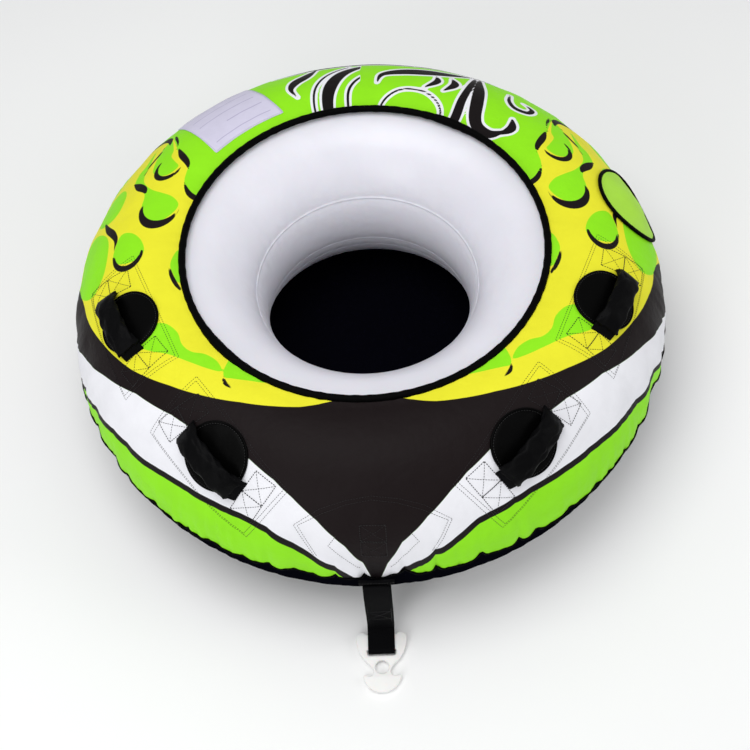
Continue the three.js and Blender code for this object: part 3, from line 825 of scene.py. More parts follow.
def make_base_cover():
    """The plain black cover from the seam down, in under the ring and across as the well's floor."""
    seam, foot = section_arc(90.0), section_arc(180.0)
    near_seam = np.linspace(seam, seam + 0.07, 24)
    rows = section_angle(np.concatenate([near_seam, np.linspace(seam + 0.075, foot, 30)]))
    columns = 720

    def arcs(theta, arc):
        share = np.clip(1 - (arc - seam) / 0.07, 0, 1) ** 1.5
        return arc + share * (seam_arc(theta) - seam)

    def lift(theta, arc):
        return cover_relief(theta, arc) * np.clip((section_arc(172.0) - arc) / 0.05, 0, 1)

    piece, theta, arc = ring_skin("black_base_cover", rows, lift, BLACK_NYLON, columns, arcs)
    close_floor(piece, (len(rows) - 1) * columns)
    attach(piece, "tube")
    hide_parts("base_cover", "seat_floor")


def close_floor(piece, first):
    """Carries the base cover's last ring, its points from first on, in to the middle as the floor."""
    active(piece)
    bpy.ops.object.mode_set(mode="EDIT")
    bpy.ops.mesh.select_all(action="DESELECT")
    shape = bmesh.from_edit_mesh(piece.data)
    shape.verts.ensure_lookup_table()
    for vertex in shape.verts[first:]:
        vertex.select = True
    shape.select_flush(True)
    bmesh.update_edit_mesh(piece.data)
    slack = [(0.86, 0.0008), (0.8, 0.0004), (0.75, 0.0), (0.7, -0.0006), (0.6, 0.0), (0.4, 0.0)]
    for scale, rise in slack:
        bpy.ops.mesh.extrude_edges_move()
        bpy.ops.transform.resize(value=(scale, scale, 1), center_override=(0, 0, 0))
        bpy.ops.transform.translate(value=(0, 0, rise))
    bpy.ops.mesh.edge_face_add()
    bpy.ops.object.mode_set(mode="OBJECT")


def make_hem_binding():
    """Rolled tape round the cover's hem, gathered a little, and fatter at its two joins."""
    theta = np.arange(720) / 2
    a = np.radians(theta)
    puffs = 1 + 0.035 * np.sin(64 * a + 2 * np.sin(5 * a)) + 0.025 * np.sin(101 * a + 1.0)
    for join, reach in ((-50.0, 9.0), (148.0, 7.0)):
        puffs += 0.28 * np.exp(-(((theta - join + 180) % 360 - 180) / reach) ** 2)
    path = ring_point(theta, HEM_ANGLE, HEM_LIFT)
    binding = tape_ring("hem_binding_tape", path, 0.86 * BINDING_RADIUS * puffs, 16)
    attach(binding, "tube")
    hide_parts("opening_binding", "hem_cord")


def make_seam_welt():
    theta = np.arange(720) / 2
    path = ring_point(theta, section_angle(seam_arc(theta)), seam_lift(theta) - 0.0002)
    welt = tape_ring("seam_welt_tape", path, 0.0022, 8)
    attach(welt, "tube")
    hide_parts("seam_welt")


# ---- webbing, cloth laid on the ring, and thread ----

def flat_section(width, thickness):
    """A webbing's section: flat faces and round selvedges, as points (across, up)."""
    half, round_off, across = width / 2, thickness / 2, 8
    straight = np.linspace(-half + round_off, half - round_off, across)
    turn = np.radians([-54, -18, 18, 54])
    right = np.stack([half - round_off + round_off * np.cos(turn), round_off * np.sin(turn)], axis=-1)
    lower = np.stack([straight, np.full(across, -round_off)], axis=-1)
    upper = np.stack([straight[::-1], np.full(across, round_off)], axis=-1)
    return np.vstack([lower, right, upper, -right])


def along_path(centres):
    """Unit directions along a path of points, and the length gone at each of them."""
    steps = np.diff(centres, axis=0)
    lengths = np.linalg.norm(steps, axis=1)
    ahead = np.vstack([steps[:1], steps[:-1] + steps[1:], steps[-1:]])
    return ahead / np.linalg.norm(ahead, axis=1)[:, None], np.concatenate([[0], np.cumsum(lengths)])


def ribbon(name, centres, across, section, material):
    """A band of one section along a path. Its threads are numbered by their real places."""
    centres = np.asarray(centres, float)
    section = np.asarray(section, float)
    if section.ndim == 2:
        section = np.broadcast_to(section, (len(centres),) + section.shape)
    forward, gone = along_path(centres)
    across = np.broadcast_to(np.asarray(across, float), centres.shape)
    upward = np.cross(forward, across)
    upward /= np.linalg.norm(upward, axis=1)[:, None]
    rings = centres[:, None] + section[..., :1] * across[:, None] + section[..., 1:] * upward[:, None]
    piece = loft(name, rings, material)
    add_values(piece, "warp", section[..., 0].ravel())
    add_values(piece, "weft", np.broadcast_to(gone[:, None], rings.shape[:2]).ravel())
    return piece


def rounded_grid(width, height, corner):
    """A grid of flat places whose four corners are drawn in along their rays to a round."""
    columns, rows = max(8, int(width / 0.006)), max(8, int(height / 0.006))
    x, y = np.meshgrid(np.linspace(-1, 1, columns) * width / 2, np.linspace(-1, 1, rows) * height / 2)
    into_x = np.clip(np.abs(x) - width / 2 + corner, 0, None)
    into_y = np.clip(np.abs(y) - height / 2 + corner, 0, None)
    drawn = np.maximum(into_x, into_y) / np.maximum(np.hypot(into_x, into_y), 1e-9)
    drawn = np.where((into_x > 0) & (into_y > 0), drawn, 1.0)
    x = np.sign(x) * (np.abs(x) - into_x * (1 - drawn))
    y = np.sign(y) * (np.abs(y) - into_y * (1 - drawn))
    return x, y


def sheet_faces(rows, columns):
    """Both sides of a grid and the edge between them."""
    count = rows * columns
    faces = grid_faces(rows, columns)
    faces += [[count + k for k in face[::-1]] for face in faces]
    border = list(range(columns - 1)) + [r * columns + columns - 1 for r in range(rows - 1)]
    border += [(rows - 1) * columns + c for c in range(columns - 1, 0, -1)]
    border += [r * columns for r in range(rows - 1, 0, -1)]
    edge = zip(border, border[1:] + border[:1])
    return faces + [[a + count, b + count, b, a] for a, b in edge]


def laid_sheet(name, size, place, top, thickness, material, spin=0.0, corner=0.012, follow=None):
    """A sewn-down sheet with rounded corners, its threads straight and its lower side closed."""
    width, height = size
    theta, arc = place
    x, y = rounded_grid(width, height, corner)
    edge = np.minimum(width / 2 - np.abs(x), height / 2 - np.abs(y))
    wave = 0.0003 * np.sin(x * 140 + 1.0) * np.sin(y * 120)
    drop = -np.clip(1 - edge / 0.002, 0, 1) ** 2 * thickness * 0.6
    points = []
    for level in (top + wave + drop, top - thickness + wave):
        flat = np.stack([x, y, level], axis=-1).reshape(-1, 3)
        if follow is not None:
            around, up = spun(flat[:, 0], flat[:, 1], spin)
            turned = np.degrees(around / way_radius(section_angle(arc)))
            flat[:, 2] += follow(theta + turned, arc - up)
        points.append(lay(flat, theta, arc, spin))
    piece = mesh_piece(name, np.vstack(points), sheet_faces(*x.shape), material)
    face_outwards(piece)
    add_values(piece, "warp", np.tile(x.ravel(), 2))
    add_values(piece, "weft", np.tile(y.ravel(), 2))
    return piece


def thread_runs(name, runs, radius, body="tube", length=STITCH["length"], material=None):
    """Rows of small raised stitches: each run is its points, the ways out at them and a share of radius."""
    points, faces = [], []
    gap = STITCH["gap"]
    for run, outward, *share in runs:
        gone = along_path(run)[1]
        count = max(1, int(round(gone[-1] / (length + gap))))
        pitch = gone[-1] / count
        for k in range(count):
            ends = []
            for place in (k * pitch + gap / 2, (k + 0.5) * pitch, (k + 1) * pitch - gap / 2):
                at = np.array([np.interp(place, gone, run[:, axis]) for axis in range(3)])
                out = np.array([np.interp(place, gone, outward[:, axis]) for axis in range(3)])
                ends.append((at, out / np.linalg.norm(out)))
            add_stitch(points, faces, ends, radius * (share[0] if share else 1))
    piece = mesh_piece(name, points, faces, material or DARK_THREAD)
    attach(piece, body)
    return piece


def add_stitch(points, faces, ends, radius):
    """One stitch: a four-sided bead drawn to a point at both ends, where it dips into the cloth."""
    (first, out_first), (middle, out), (last, out_last) = ends
    side = np.cross(last - first, out)
    side /= np.linalg.norm(side)
    start = len(points)
    dip, lift, size = 0.7, 0.2, 0.9
    points.append(first - out_first * radius * dip)
    for at in (first * 0.75 + last * 0.25, first * 0.25 + last * 0.75):
        at = at + (middle - (first + last) / 2)
        for a in np.radians([0, 90, 180, 270]):
            up, across = lift + size * math.sin(a), size * math.cos(a)
            points.append(at + out * radius * up + side * radius * across)
    points.append(last - out_last * radius * dip)
    for k in range(4):
        a, b = start + 1 + k, start + 1 + (k + 1) % 4
        faces.append((start, a, b))
        faces.append((a, a + 4, b + 4, b))
        faces.append((start + 9, b + 4, a + 4))


def thread_on_cover(theta, section, lift):
    """Points just over the cover and the way out at each."""
    height = cover_relief(theta, section_arc(section)) + lift
    points = ring_point(theta, section, height)
    return points, ring_point(theta, section, height + 0.01) - points


def ring_run(places, lift=0.0002):
    """A run of thread over the cover through places (theta, metres of arc)."""
    places = np.asarray(places, float)
    fine = []
    for first, last in zip(places[:-1], places[1:]):
        around, down = last - first
        radius = way_radius(section_angle((first[1] + last[1]) / 2))
        steps = max(2, int(math.hypot(math.radians(around) * radius, down) / 0.006))
        fine.append(first + np.linspace(0, 1, steps, endpoint=False)[:, None] * (last - first))
    fine = np.vstack(fine + [places[-1:]])
    return thread_on_cover(fine[:, 0], section_angle(fine[:, 1]), lift)


def chord_run(places):
    """A run of thread that goes straight, seen square on, from place to place (theta, metres of arc)."""
    corners = [ring_point(theta, section_angle(arc)) for theta, arc in places]
    fine = []
    for first, last in zip(corners[:-1], corners[1:]):
        steps = max(2, int(np.linalg.norm(last - first) / 0.006))
        fine.append(first + np.linspace(0, 1, steps, endpoint=False)[:, None] * (last - first))
    x, y, z = np.vstack(fine + [corners[-1:]]).T
    out = np.hypot(x, y) - CREST_RADIUS
    section = np.degrees(np.arctan2(out / HALF_WIDTH, (z - HALF_HEIGHT) / HALF_HEIGHT))
    return thread_on_cover(np.degrees(np.arctan2(x, -y)), section, 0.0001)


def turned_places(corners, theta, arc, spin):
    """Places on the ring of flat corners (x, y) drawn round a place and turned by spin."""
    out = []
    for x, y in corners:
        around, up = spun(x, y, spin)
        radius = way_radius(section_angle(arc - up))
        out.append((theta + math.degrees(around / radius), arc - up))
    return out


def box_and_cross(theta, arc, spin, width, length, shift):
    """The sewn box with a finer cross in it that holds a web to the cover."""
    half, a, b = width / 2, shift - length / 2, shift + length / 2
    box = turned_places([(-half, a), (half, a), (half, b), (-half, b), (-half, a)], theta, arc, spin)
    return [ring_run(box), (*ring_run([box[0], box[2]]), 0.65), (*ring_run([box[1], box[3]]), 0.65)]


# ---- the four grips ----

def grip_frame(low, high):
    """The grip's flat frame on the ring and the places where its strap enters the cover."""
    middle = ((low[0] + high[0]) / 2, (low[1] + high[1]) / 2)
    run = math.radians(high[0] - low[0]) * way_radius(section_angle(middle[1]))
    spin = math.degrees(math.atan2(low[1] - high[1], run))
    matrix = ring_frame(*middle) @ Matrix.Rotation(math.radians(spin), 4, "Z")
    share = 1 - GRIP["slit_inset"] / (math.hypot(run, high[1] - low[1]) / 2)
    ends = []
    for angle, arc in (low, high):
        theta = middle[0] + (angle - middle[0]) * share
        section = section_angle(middle[1] + (arc - middle[1]) * share)
        ends.append(matrix.inverted() @ Vector(ring_point(theta, section)))
    return {"middle": middle, "spin": spin, "matrix": matrix, "ends": ends}


def grip_line(frame, reach, count):
    """Points of the grip's middle line: a flat-topped arch out of one slit and into the other."""
    low, high = frame["ends"]
    x = np.linspace(-1, 1, 1201) * reach
    end_x = np.where(x < 0, low.x, high.x)
    foot = np.where(x < 0, low.z, high.z) - GRIP["tail_depth"]
    x = x * np.abs(end_x)
    z = GRIP["arch"] - (GRIP["arch"] - foot) * (x / end_x) ** 4
    flat = np.stack([x, np.zeros_like(x), z], axis=-1)
    gone = along_path(flat)[1]
    even = np.linspace(0, gone[-1], count)
    return np.stack([np.interp(even, gone, flat[:, axis]) for axis in range(3)], axis=-1)


def to_world(piece, matrix):
    piece.data.transform(matrix)
    piece.data.update()


def sleeve_section(along, turn, seed):
    """The sleeve's oval at places along it: wider at its cuffs, lapped on top and creased at its bends."""
    end = np.abs(along)
    cuff = np.clip((end - 0.9) / 0.1, 0, 1)
    full = 0.0086
    wide = 0.0212 + 0.0020 * end ** 2 + 0.0018 * cuff
    thick = full - 0.0034 * end ** 3 + 0.0010 * cuff
    seam_at = 1.15 + 0.12 * np.sin(9 * along + seed) + 0.05 * np.sin(23 * along)
    lap = 0.0012 / (1 + np.exp(-(turn - seam_at) * 30)) * np.clip((2.9 - turn) / 1.2, 0, 1)
    bend = np.exp(-((end - 0.62) / 0.2) ** 2)
    folds = np.abs(np.sin(38 * along + 0.8 * np.sin(2 * turn + seed)))
    crease = -0.00054 * bend * folds * (1 - np.sin(turn))
    dents = 0.0006 * np.sin(3 * turn + 5 * along) * np.sin(7 * along + 1.3)
    dents = dents + 0.0004 * np.sin(5 * turn - 11 * along)
    swell = 1 + (lap + crease + dents) / full
    squareness = 0.8
    x = wide * np.sign(np.cos(turn)) * np.abs(np.cos(turn)) ** squareness * swell
    y = thick * np.sign(np.sin(turn)) * np.abs(np.sin(turn)) ** squareness * swell
    return np.stack(np.broadcast_arrays(x, y), axis=-1)


def tuck_mouths(rings, centres, forward):
    """Turns each end of a sleeve in on itself, so that it reads as an open tube round the strap."""
    mouths = []
    for end, way in ((0, forward[0]), (-1, -forward[-1])):
        spread = rings[end] - centres[end]
        outer = centres[end] + spread * 0.84 + way * 0.0006
        inner = centres[end] + spread * 0.80 + way * 0.011
        mouths.append((outer, inner))
    (outer_low, inner_low), (outer_high, inner_high) = mouths
    return np.concatenate([[inner_low, outer_low], rings, [outer_high, inner_high]])


def make_grip_sleeve(name, frame):
    """A neoprene tube over foam: oval, creased across where it bends, with a lapped seam along its top."""
    count, seed = 72, len(name)
    centres = grip_line(frame, 0.86, count)
    turn = np.linspace(0, 2 * np.pi, 56, endpoint=False)[None, :]
    section = sleeve_section(np.linspace(-1, 1, count)[:, None], turn, seed)
    forward = along_path(centres)[0]
    across = np.broadcast_to([0.0, 1.0, 0.0], centres.shape)
    upward = np.cross(forward, across)
    rings = centres[:, None] + section[..., :1] * across[:, None] + section[..., 1:] * upward[:, None]
    ragged = 0.001 + 0.0016 * np.sin(turn[0] * 5 + seed) + 0.0011 * np.sin(turn[0] * 11 + 2.0)
    rings[0] -= forward[0] * ragged[:, None]
    rings[-1] += forward[-1] * ragged[:, None]
    piece = loft(name, tuck_mouths(rings, centres, forward), NEOPRENE)
    to_world(piece, frame["matrix"])
    return piece


def make_grip_strap(name, frame):
    """The flat webbing under the sleeve, folded narrower inside it and running into both slits."""
    count = 90
    inside = np.clip((0.62 - np.abs(np.linspace(-1, 1, count))) / 0.1, 0, 1)
    section = flat_section(GRIP_STRAP["width"], GRIP_STRAP["thickness"])
    sections = np.repeat(section[None], count, axis=0)
    sections[..., 0] *= (1 - 0.2 * inside)[:, None]
    piece = ribbon(name, grip_line(frame, 1.02, count), (0.0, 1.0, 0.0), sections, WEBBING)
    to_world(piece, frame["matrix"])
    return piece


# The knuckle pad's section as share of its radius and height in mm: a dome, a sewn groove and a bound rim.
PAD_SECTION = [(0.16, 4.6), (0.34, 4.5), (0.52, 4.3), (0.68, 4.0), (0.80, 3.7), (0.875, 3.35), (0.905, 2.75),
               (0.92, 2.75), (0.935, 3.6), (0.955, 4.5), (0.975, 4.6), (0.99, 3.9), (1.0, 2.4), (0.995, 0.9),
               (0.98, 0.35), (0.6, 0.3), (0.25, 0.3)]
PAD_GROOVE = 0.9125


def make_knuckle_guard(name, frame, radius, place):
    """A foam pad with a bound edge, dented under the grip, and the run of thread in its groove."""
    centre = frame["matrix"].inverted() @ Vector(ring_point(place[0], section_angle(place[1])))
    sides = 96
    turn = np.linspace(0, 2 * np.pi, sides, endpoint=False)
    egg = 1 + 0.018 * np.cos(2 * turn + 0.6) + 0.01 * np.sin(3 * turn + len(name))
    rings = []
    for share, height in PAD_SECTION:
        reach = radius * share * (1 + (egg - 1) * share)
        x, y = reach * np.cos(turn), reach * np.sin(turn)
        dent = 0.0011 * np.exp(-((y + centre.y) / 0.017) ** 2) * (height > 3.2) * (share < 0.9)
        soft = 0.0004 * np.sin(x * 90 + 1.1) * np.cos(y * 110) * (height > 2)
        rings.append(np.stack([x, y, height * MM - dent + soft], axis=-1))
    points = np.vstack([[[0, 0, 4.1 * MM]]] + rings + [[[0, 0, 0.3 * MM]]])
    piece = mesh_piece(name, lay(points, *place, frame["spin"]), disc_faces(len(rings), sides), FOAM)
    face_outwards(piece)
    apply_modifier(piece, "SUBSURF", levels=1, render_levels=1)
    groove = radius * PAD_GROOVE * (1 + (np.append(egg, egg[0]) - 1) * 0.91)
    around = np.linspace(0, 2 * np.pi, sides + 1)
    flat = np.stack([groove * np.cos(around), groove * np.sin(around), np.full(sides + 1, 0.003)], axis=-1)
    run = lay(flat, *place, frame["spin"])
    return piece, (run, lay(flat + [0, 0, 0.017], *place, frame["spin"]) - run)


def make_grip_webs(label, frame, ends, rim):
    """The two webs under a grip's ends, and the bold stitches that hold them and the pad's rim."""
    spin = frame["spin"]
    runs = [rim]
    for which, place in zip(("low", "high"), ends):
        web = laid_sheet(f"{label}_grip_web_{which}", (WEB["width"], WEB["length"]), place, WEB["top"],
                         WEB["thickness"], WEBBING, spin=spin, corner=0.002, follow=cover_relief)
        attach(web, "tube")
        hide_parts(f"anchor_web_{which}_{label}")
        for shift in (-WEB["length"] / 4, WEB["length"] / 4):
            runs += box_and_cross(*place, spin, WEB["width"] - 0.002, 0.0445, shift)
    bold = thread_runs(label + "_grip_web_stitches", runs, radius=0.00082)


def make_grip_patch(label, frame, size, place, outline):
    """The patch that backs the cover under a grip, and the two fine rows that are seen of it."""
    sheet = laid_sheet(label + "_grip_patch", size, place, PATCH["top"], PATCH["thickness"], BACKING,
                       spin=frame["spin"], follow=cover_relief)
    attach(sheet, "tube")
    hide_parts("reinforcement_patch_" + label)
    fine = thread_runs(label + "_grip_patch_stitches", patch_outline(outline), radius=0.0005)


def make_grip(label, sign, low, high, patch, guard, outline):
    """One grip with all that holds it. Places are degrees on the right side and mm of arc."""
    low, high = (sign * low[0], low[1] * MM), (sign * high[0], high[1] * MM)
    frame = grip_frame(low, high)

    sleeve = make_grip_sleeve(label + "_grip_sleeve", frame)
    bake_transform(sleeve)
    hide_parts("grip_sleeve_" + label)

    strap = make_grip_strap(label + "_grip_strap", frame)
    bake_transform(strap)
    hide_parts("grip_core_" + label, "strap_tail_low_" + label, "strap_tail_high_" + label)

    place = (sign * guard[1], guard[2] * MM)
    pad, rim = make_knuckle_guard(label + "_grip_knuckle_pad", frame, guard[0] * MM, place)
    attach(pad, "tube")
    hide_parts("knuckle_guard_" + label)

    make_grip_webs(label, frame, (low, high), rim)
    corners = [(sign * theta, arc) for theta, arc in outline]
    make_grip_patch(label, frame, (patch[0] * MM, patch[1] * MM), (sign * patch[2], patch[3] * MM), corners)


def patch_outline(corners):
    """Two rows of fine stitches just inside a patch's edge, from its corners on the ring."""
    middle = np.mean(corners, axis=0)
    runs = []
    for share in (1.0, 0.945):
        inner = [tuple(middle + (np.array(corner) - middle) * share) for corner in corners]
        runs.append(chord_run(inner + inner[:1]))
    return runs


FRONT_OUTLINE = [(46.6, 0.018), (15.8, 0.127), (22.8, 0.243), (47.2, 0.148)]
REAR_OUTLINE = [(54.2, 0.017), (89.3, 0.042), (83.5, 0.147), (56.2, 0.144)]


def make_grips():
    for side, sign in (("left", -1), ("right", 1)):
        make_grip("front_" + side, sign, low=(42.6, 88), high=(22.5, 158), patch=(280, 136, 32.9, 135),
                  guard=(61, 31.9, 114.7), outline=FRONT_OUTLINE)
        make_grip("rear_" + side, sign, low=(59.6, 73), high=(82.2, 94), patch=(251, 122, 70.5, 89),
                  guard=(60, 70.8, 67), outline=REAR_OUTLINE)


# ---- the inflation valve, its flap and the label ----

def finish_moulding(piece, name, material, bevel, place):
    """Merges, turns outwards, rounds the edges and puts a moulding in its place."""
    piece.name = name
    piece.data.name = name
    active(piece)
    bpy.ops.object.mode_set(mode="EDIT")
    bpy.ops.mesh.select_all(action="SELECT")
    bpy.ops.mesh.remove_doubles(threshold=0.00001)
    bpy.ops.mesh.normals_make_consistent(inside=False)
    bpy.ops.object.mode_set(mode="OBJECT")
    corner = math.radians(35)
    if bevel:
        apply_modifier(piece, "BEVEL", width=bevel, segments=3, limit_method="ANGLE", angle_limit=corner)
    bpy.ops.object.shade_smooth_by_angle(angle=corner)
    piece.data.materials.clear()
    piece.data.materials.append(material)
    to_world(piece, place)


def turn_profile(profile, sides=48):
    """Extrudes a circle through the steps of a profile of (radius, height) in mm."""
    select_none()
    radius, height = profile[0]
    bpy.ops.mesh.primitive_circle_add(vertices=sides, radius=radius * MM, location=(0, 0, height * MM))
    piece = bpy.context.object
    bpy.ops.object.transform_apply(location=True, rotation=True, scale=True)
    bpy.ops.object.mode_set(mode="EDIT")
    bpy.ops.mesh.select_all(action="SELECT")
    for next_radius, next_height in profile[1:]:
        bpy.ops.mesh.extrude_edges_move()
        scale = max(next_radius, 0.001) / radius
        bpy.ops.transform.resize(value=(scale, scale, 1), center_override=(0, 0, height * MM))
        bpy.ops.transform.translate(value=(0, 0, (next_height - height) * MM))
        radius, height = next_radius, next_height
    if radius == 0:
        bpy.ops.mesh.merge(type="CENTER")
    bpy.ops.object.mode_set(mode="OBJECT")
    return piece


def close_bottom(piece):
    """Caps the first circle of a turned profile."""
    active(piece)
    bpy.ops.object.mode_set(mode="EDIT")
    bpy.ops.mesh.select_all(action="DESELECT")
    bpy.ops.mesh.select_mode(type="EDGE")
    bpy.ops.mesh.select_non_manifold()
    bpy.ops.mesh.edge_face_add()
    bpy.ops.mesh.select_mode(type="VERT")
    bpy.ops.object.mode_set(mode="OBJECT")


def raise_faces(piece, chosen, lift):
    """Extrudes the faces that chosen picks by their centre in mm and their normal."""
    active(piece)
    bpy.ops.object.mode_set(mode="EDIT")
    bpy.ops.mesh.select_mode(type="FACE")
    bpy.ops.mesh.select_all(action="DESELECT")
    shape = bmesh.from_edit_mesh(piece.data)
    for face in shape.faces:
        face.select = chosen(face.calc_center_median() / MM, face.normal)
    bmesh.update_edit_mesh(piece.data)
    bpy.ops.mesh.extrude_region_shrink_fatten(TRANSFORM_OT_shrink_fatten={"value": lift * MM})
    bpy.ops.mesh.select_mode(type="VERT")
    bpy.ops.object.mode_set(mode="OBJECT")


def make_valve():
    """The valve's base, its seat and its screw cap with a ribbed edge and a bar to turn it by."""
    place = ring_frame(FLAP["angle"], FLAP["arc"])
    base = turn_profile([(20, -22), (42, -22), (42, -20.6), (38, -20), (28, -20), (25, -19), (25, -3),
                         (22.5, -3), (20, -3.4), (20, -22)])
    finish_moulding(base, "valve_base_moulding", VALVE_VINYL, 0.0003, place)
    seat = turn_profile([(7.5, -16), (19.4, -16), (19.4, -2.7), (24, -2.7), (24, -1.2), (21, -0.8),
                         (10.5, -0.8), (9.2, -1.6), (8.4, -1.6), (7.5, -0.8), (7.5, -16)])
    finish_moulding(seat, "valve_seat_moulding", VALVE_VINYL, 0.00025, place)

    cap = turn_profile([(7.1, -12), (7.1, -0.5), (20, -0.5), (20, 2.2), (19, 3.1), (16.5, 3.6), (14.5, 3.4),
                        (13.5, 2.9), (4, 2.9), (0, 2.9)], sides=96)
    close_bottom(cap)
    rib = 2 * math.pi / 24

    def on_rib(centre, normal):
        outside = abs(normal.z) < 0.3 and centre.xy.length > 19
        return outside and math.atan2(centre.y, centre.x) % rib > rib / 2

    def on_bar(centre, normal):
        return normal.z > 0.9 and 4 < centre.xy.length < 13 and abs(centre.y) < 2.4

    raise_faces(cap, on_rib, 0.5)
    raise_faces(cap, on_bar, 2.6)
    finish_moulding(cap, "valve_cap_moulding", VALVE_VINYL, 0.00018, place)
    for piece, node, body in ((base, "valve_base", "tube"), (seat, "valve_seat", "tube"),
                              (cap, "valve_cap", "valve_cap")):
        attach(piece, body)
        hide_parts(node)


def flap_circle(radius, height, count):
    """A circle of places round the flap's middle."""
    turn = np.linspace(0, 2 * np.pi, count, endpoint=False)
    return np.stack([radius * np.cos(turn), radius * np.sin(turn), np.full(count, height)], axis=-1)


def on_flap(points):
    return lay(points, FLAP["angle"], FLAP["arc"])


def make_valve_hole_tape():
    """Thin tape rolled round the edge of the hole in the cover."""
    circle = np.linspace(0, 2 * np.pi, 96, endpoint=False)
    rim = on_flap(flap_circle(VALVE_HOLE + 0.0002, 0.0012, 96))
    binding = tape_ring("valve_hole_tape", rim, 0.0011 * (1 + 0.08 * np.sin(12 * circle)), 10)
    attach(binding, "tube")
    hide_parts("valve_opening_binding")


def flap_level(radius, turn):
    """Height of the flap's lower face: domed over the cap, rippled, and drawn down at its hem."""
    reach = FLAP["radius"]
    share = np.clip((radius - 0.014) / 0.044, 0, 1)
    dome = FLAP["dome"] * (1 - share * share * (3 - 2 * share))
    out = radius / reach
    ripple = 0.0007 * np.sin(3 * turn + 0.5) * out + 0.0005 * np.sin(9 * turn + 1.7) * out ** 3
    hem = 0.0008 * np.exp(-((out - 0.93) / 0.03) ** 2)
    return FLAP["lift"] + dome + ripple - hem


def make_flap_cloth():
    """The round flap over the valve, domed by the cap beneath it."""
    sides, reach, thickness = 96, FLAP["radius"], 0.0015
    turn = np.linspace(0, 2 * np.pi, sides, endpoint=False)
    out = reach * np.array([0.06, 0.14, 0.24, 0.34, 0.44, 0.54, 0.64, 0.74, 0.83, 0.9, 0.95, 0.985, 1.0])
    rings = []
    for radii, raised in ((out, thickness), (out[::-1], 0.0)):
        for r in radii:
            level = flap_level(r, turn) + raised
            rings.append(np.stack([r * np.cos(turn), r * np.sin(turn), level], axis=-1))
    middle = flap_level(0.0, 0.0)
    points = np.vstack([[[0, 0, middle + thickness]]] + rings + [[[0, 0, middle]]])
    flap = mesh_piece("flap_cloth", on_flap(points), disc_faces(len(rings), sides), LIME_NYLON)
    face_outwards(flap)
    add_values(flap, "warp", points[:, 0])
    add_values(flap, "weft", points[:, 1])
    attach(flap, "valve_flap")
    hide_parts("valve_flap")


def make_flap_piping():
    """A fat piped edge round the flap."""
    circle = np.linspace(0, 2 * np.pi, 120, endpoint=False)
    path = on_flap(flap_circle(FLAP["radius"] + FLAP["piping"] + 0.0003, FLAP["lift"] + 0.0009, 120))
    lumps = 1 + 0.035 * np.sin(31 * circle) + 0.02 * np.sin(47 * circle + 1)
    piping = tape_ring("flap_piping_tape", path, FLAP["piping"] * lumps, 14)
    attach(piping, "valve_flap")
    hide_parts("valve_flap_piping")


def make_flap_stitches():
    reach = 0.93 * FLAP["radius"]
    turn = np.linspace(0, 2 * np.pi, 121)
    seam = np.stack([reach * np.cos(turn), reach * np.sin(turn), flap_level(reach, turn) + 0.0016], axis=-1)
    run = on_flap(seam)
    stitches = thread_runs("flap_stitches", [(run, on_flap(seam + [0, 0, 0.01]) - run)], radius=0.0005,
                           body="valve_flap", material=LIME_THREAD)


def make_label():
    """A plain sewn label with ruled lines, every fourth one short, and nothing written on it."""
    width, height, theta, arc = 0.168, 0.170, -142.5, 0.066
    label = laid_sheet("plain_label", (width, height), (theta, arc), 0.0013, 0.0007, LABEL, corner=0.004)
    x = np.array([v.value for v in label.data.attributes["warp"].data]) / MM
    y = np.array([v.value for v in label.data.attributes["weft"].data]) / MM
    rules = np.full(len(x), -9.0)
    for k in range(13):
        line = 66 - 10.5 * k
        short = 26 if k % 4 == 3 else 0
        rules = np.maximum(rules, np.minimum(0.9 - np.abs(y - line), 70 - short - np.abs(x + short)))
    add_values(label, "rules", rules)
    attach(label, "tube")
    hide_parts("label_patch")
    x, y = width / 2 - 0.003, height / 2 - 0.003
    corners = turned_places([(-x, -y), (x, -y), (x, y), (-x, y), (-x, -y)], theta, arc, 0.0)
    border = thread_runs("label_stitches", [ring_run(corners, lift=0.0014)], radius=0.0004,
                         length=0.0032, material=PALE_THREAD)


# ---- the tow strap and its hook ----

def bezier(points, count):
    """Points along a curve with two ends and two handles."""
    p0, p1, p2, p3 = (np.asarray(p, float) for p in points)
    t = np.linspace(0, 1, count)[:, None]
    return (1 - t) ** 3 * p0 + 3 * (1 - t) ** 2 * t * p1 + 3 * (1 - t) * t * t * p2 + t ** 3 * p3


def two_ply_section(width, ply):
    """Two plies of webbing one on the other, with a groove between their selvedges."""
    half = width / 2
    straight = np.linspace(-half + 0.0012, half - 0.0012, 9)
    selvedge = [(0.0002, -0.82), (0, -0.5), (0.0003, -0.16), (0.0013, 0), (0.0003, 0.16), (0, 0.5),
                (0.0002, 0.82)]
    right = np.array([(half - into, up * ply) for into, up in selvedge])
    lower = np.stack([straight, np.full(9, -ply)], axis=-1)
    upper = np.stack([straight[::-1], np.full(9, ply)], axis=-1)
    return np.vstack([lower, right, upper, -right])


# The strap's line from the collar down to the hook, as (y, z).
STRAP_LINE = bezier([(-0.5965, 0.203), (-0.618, 0.160), (-0.604, 0.090), (-0.604, 0.0232)], 61)


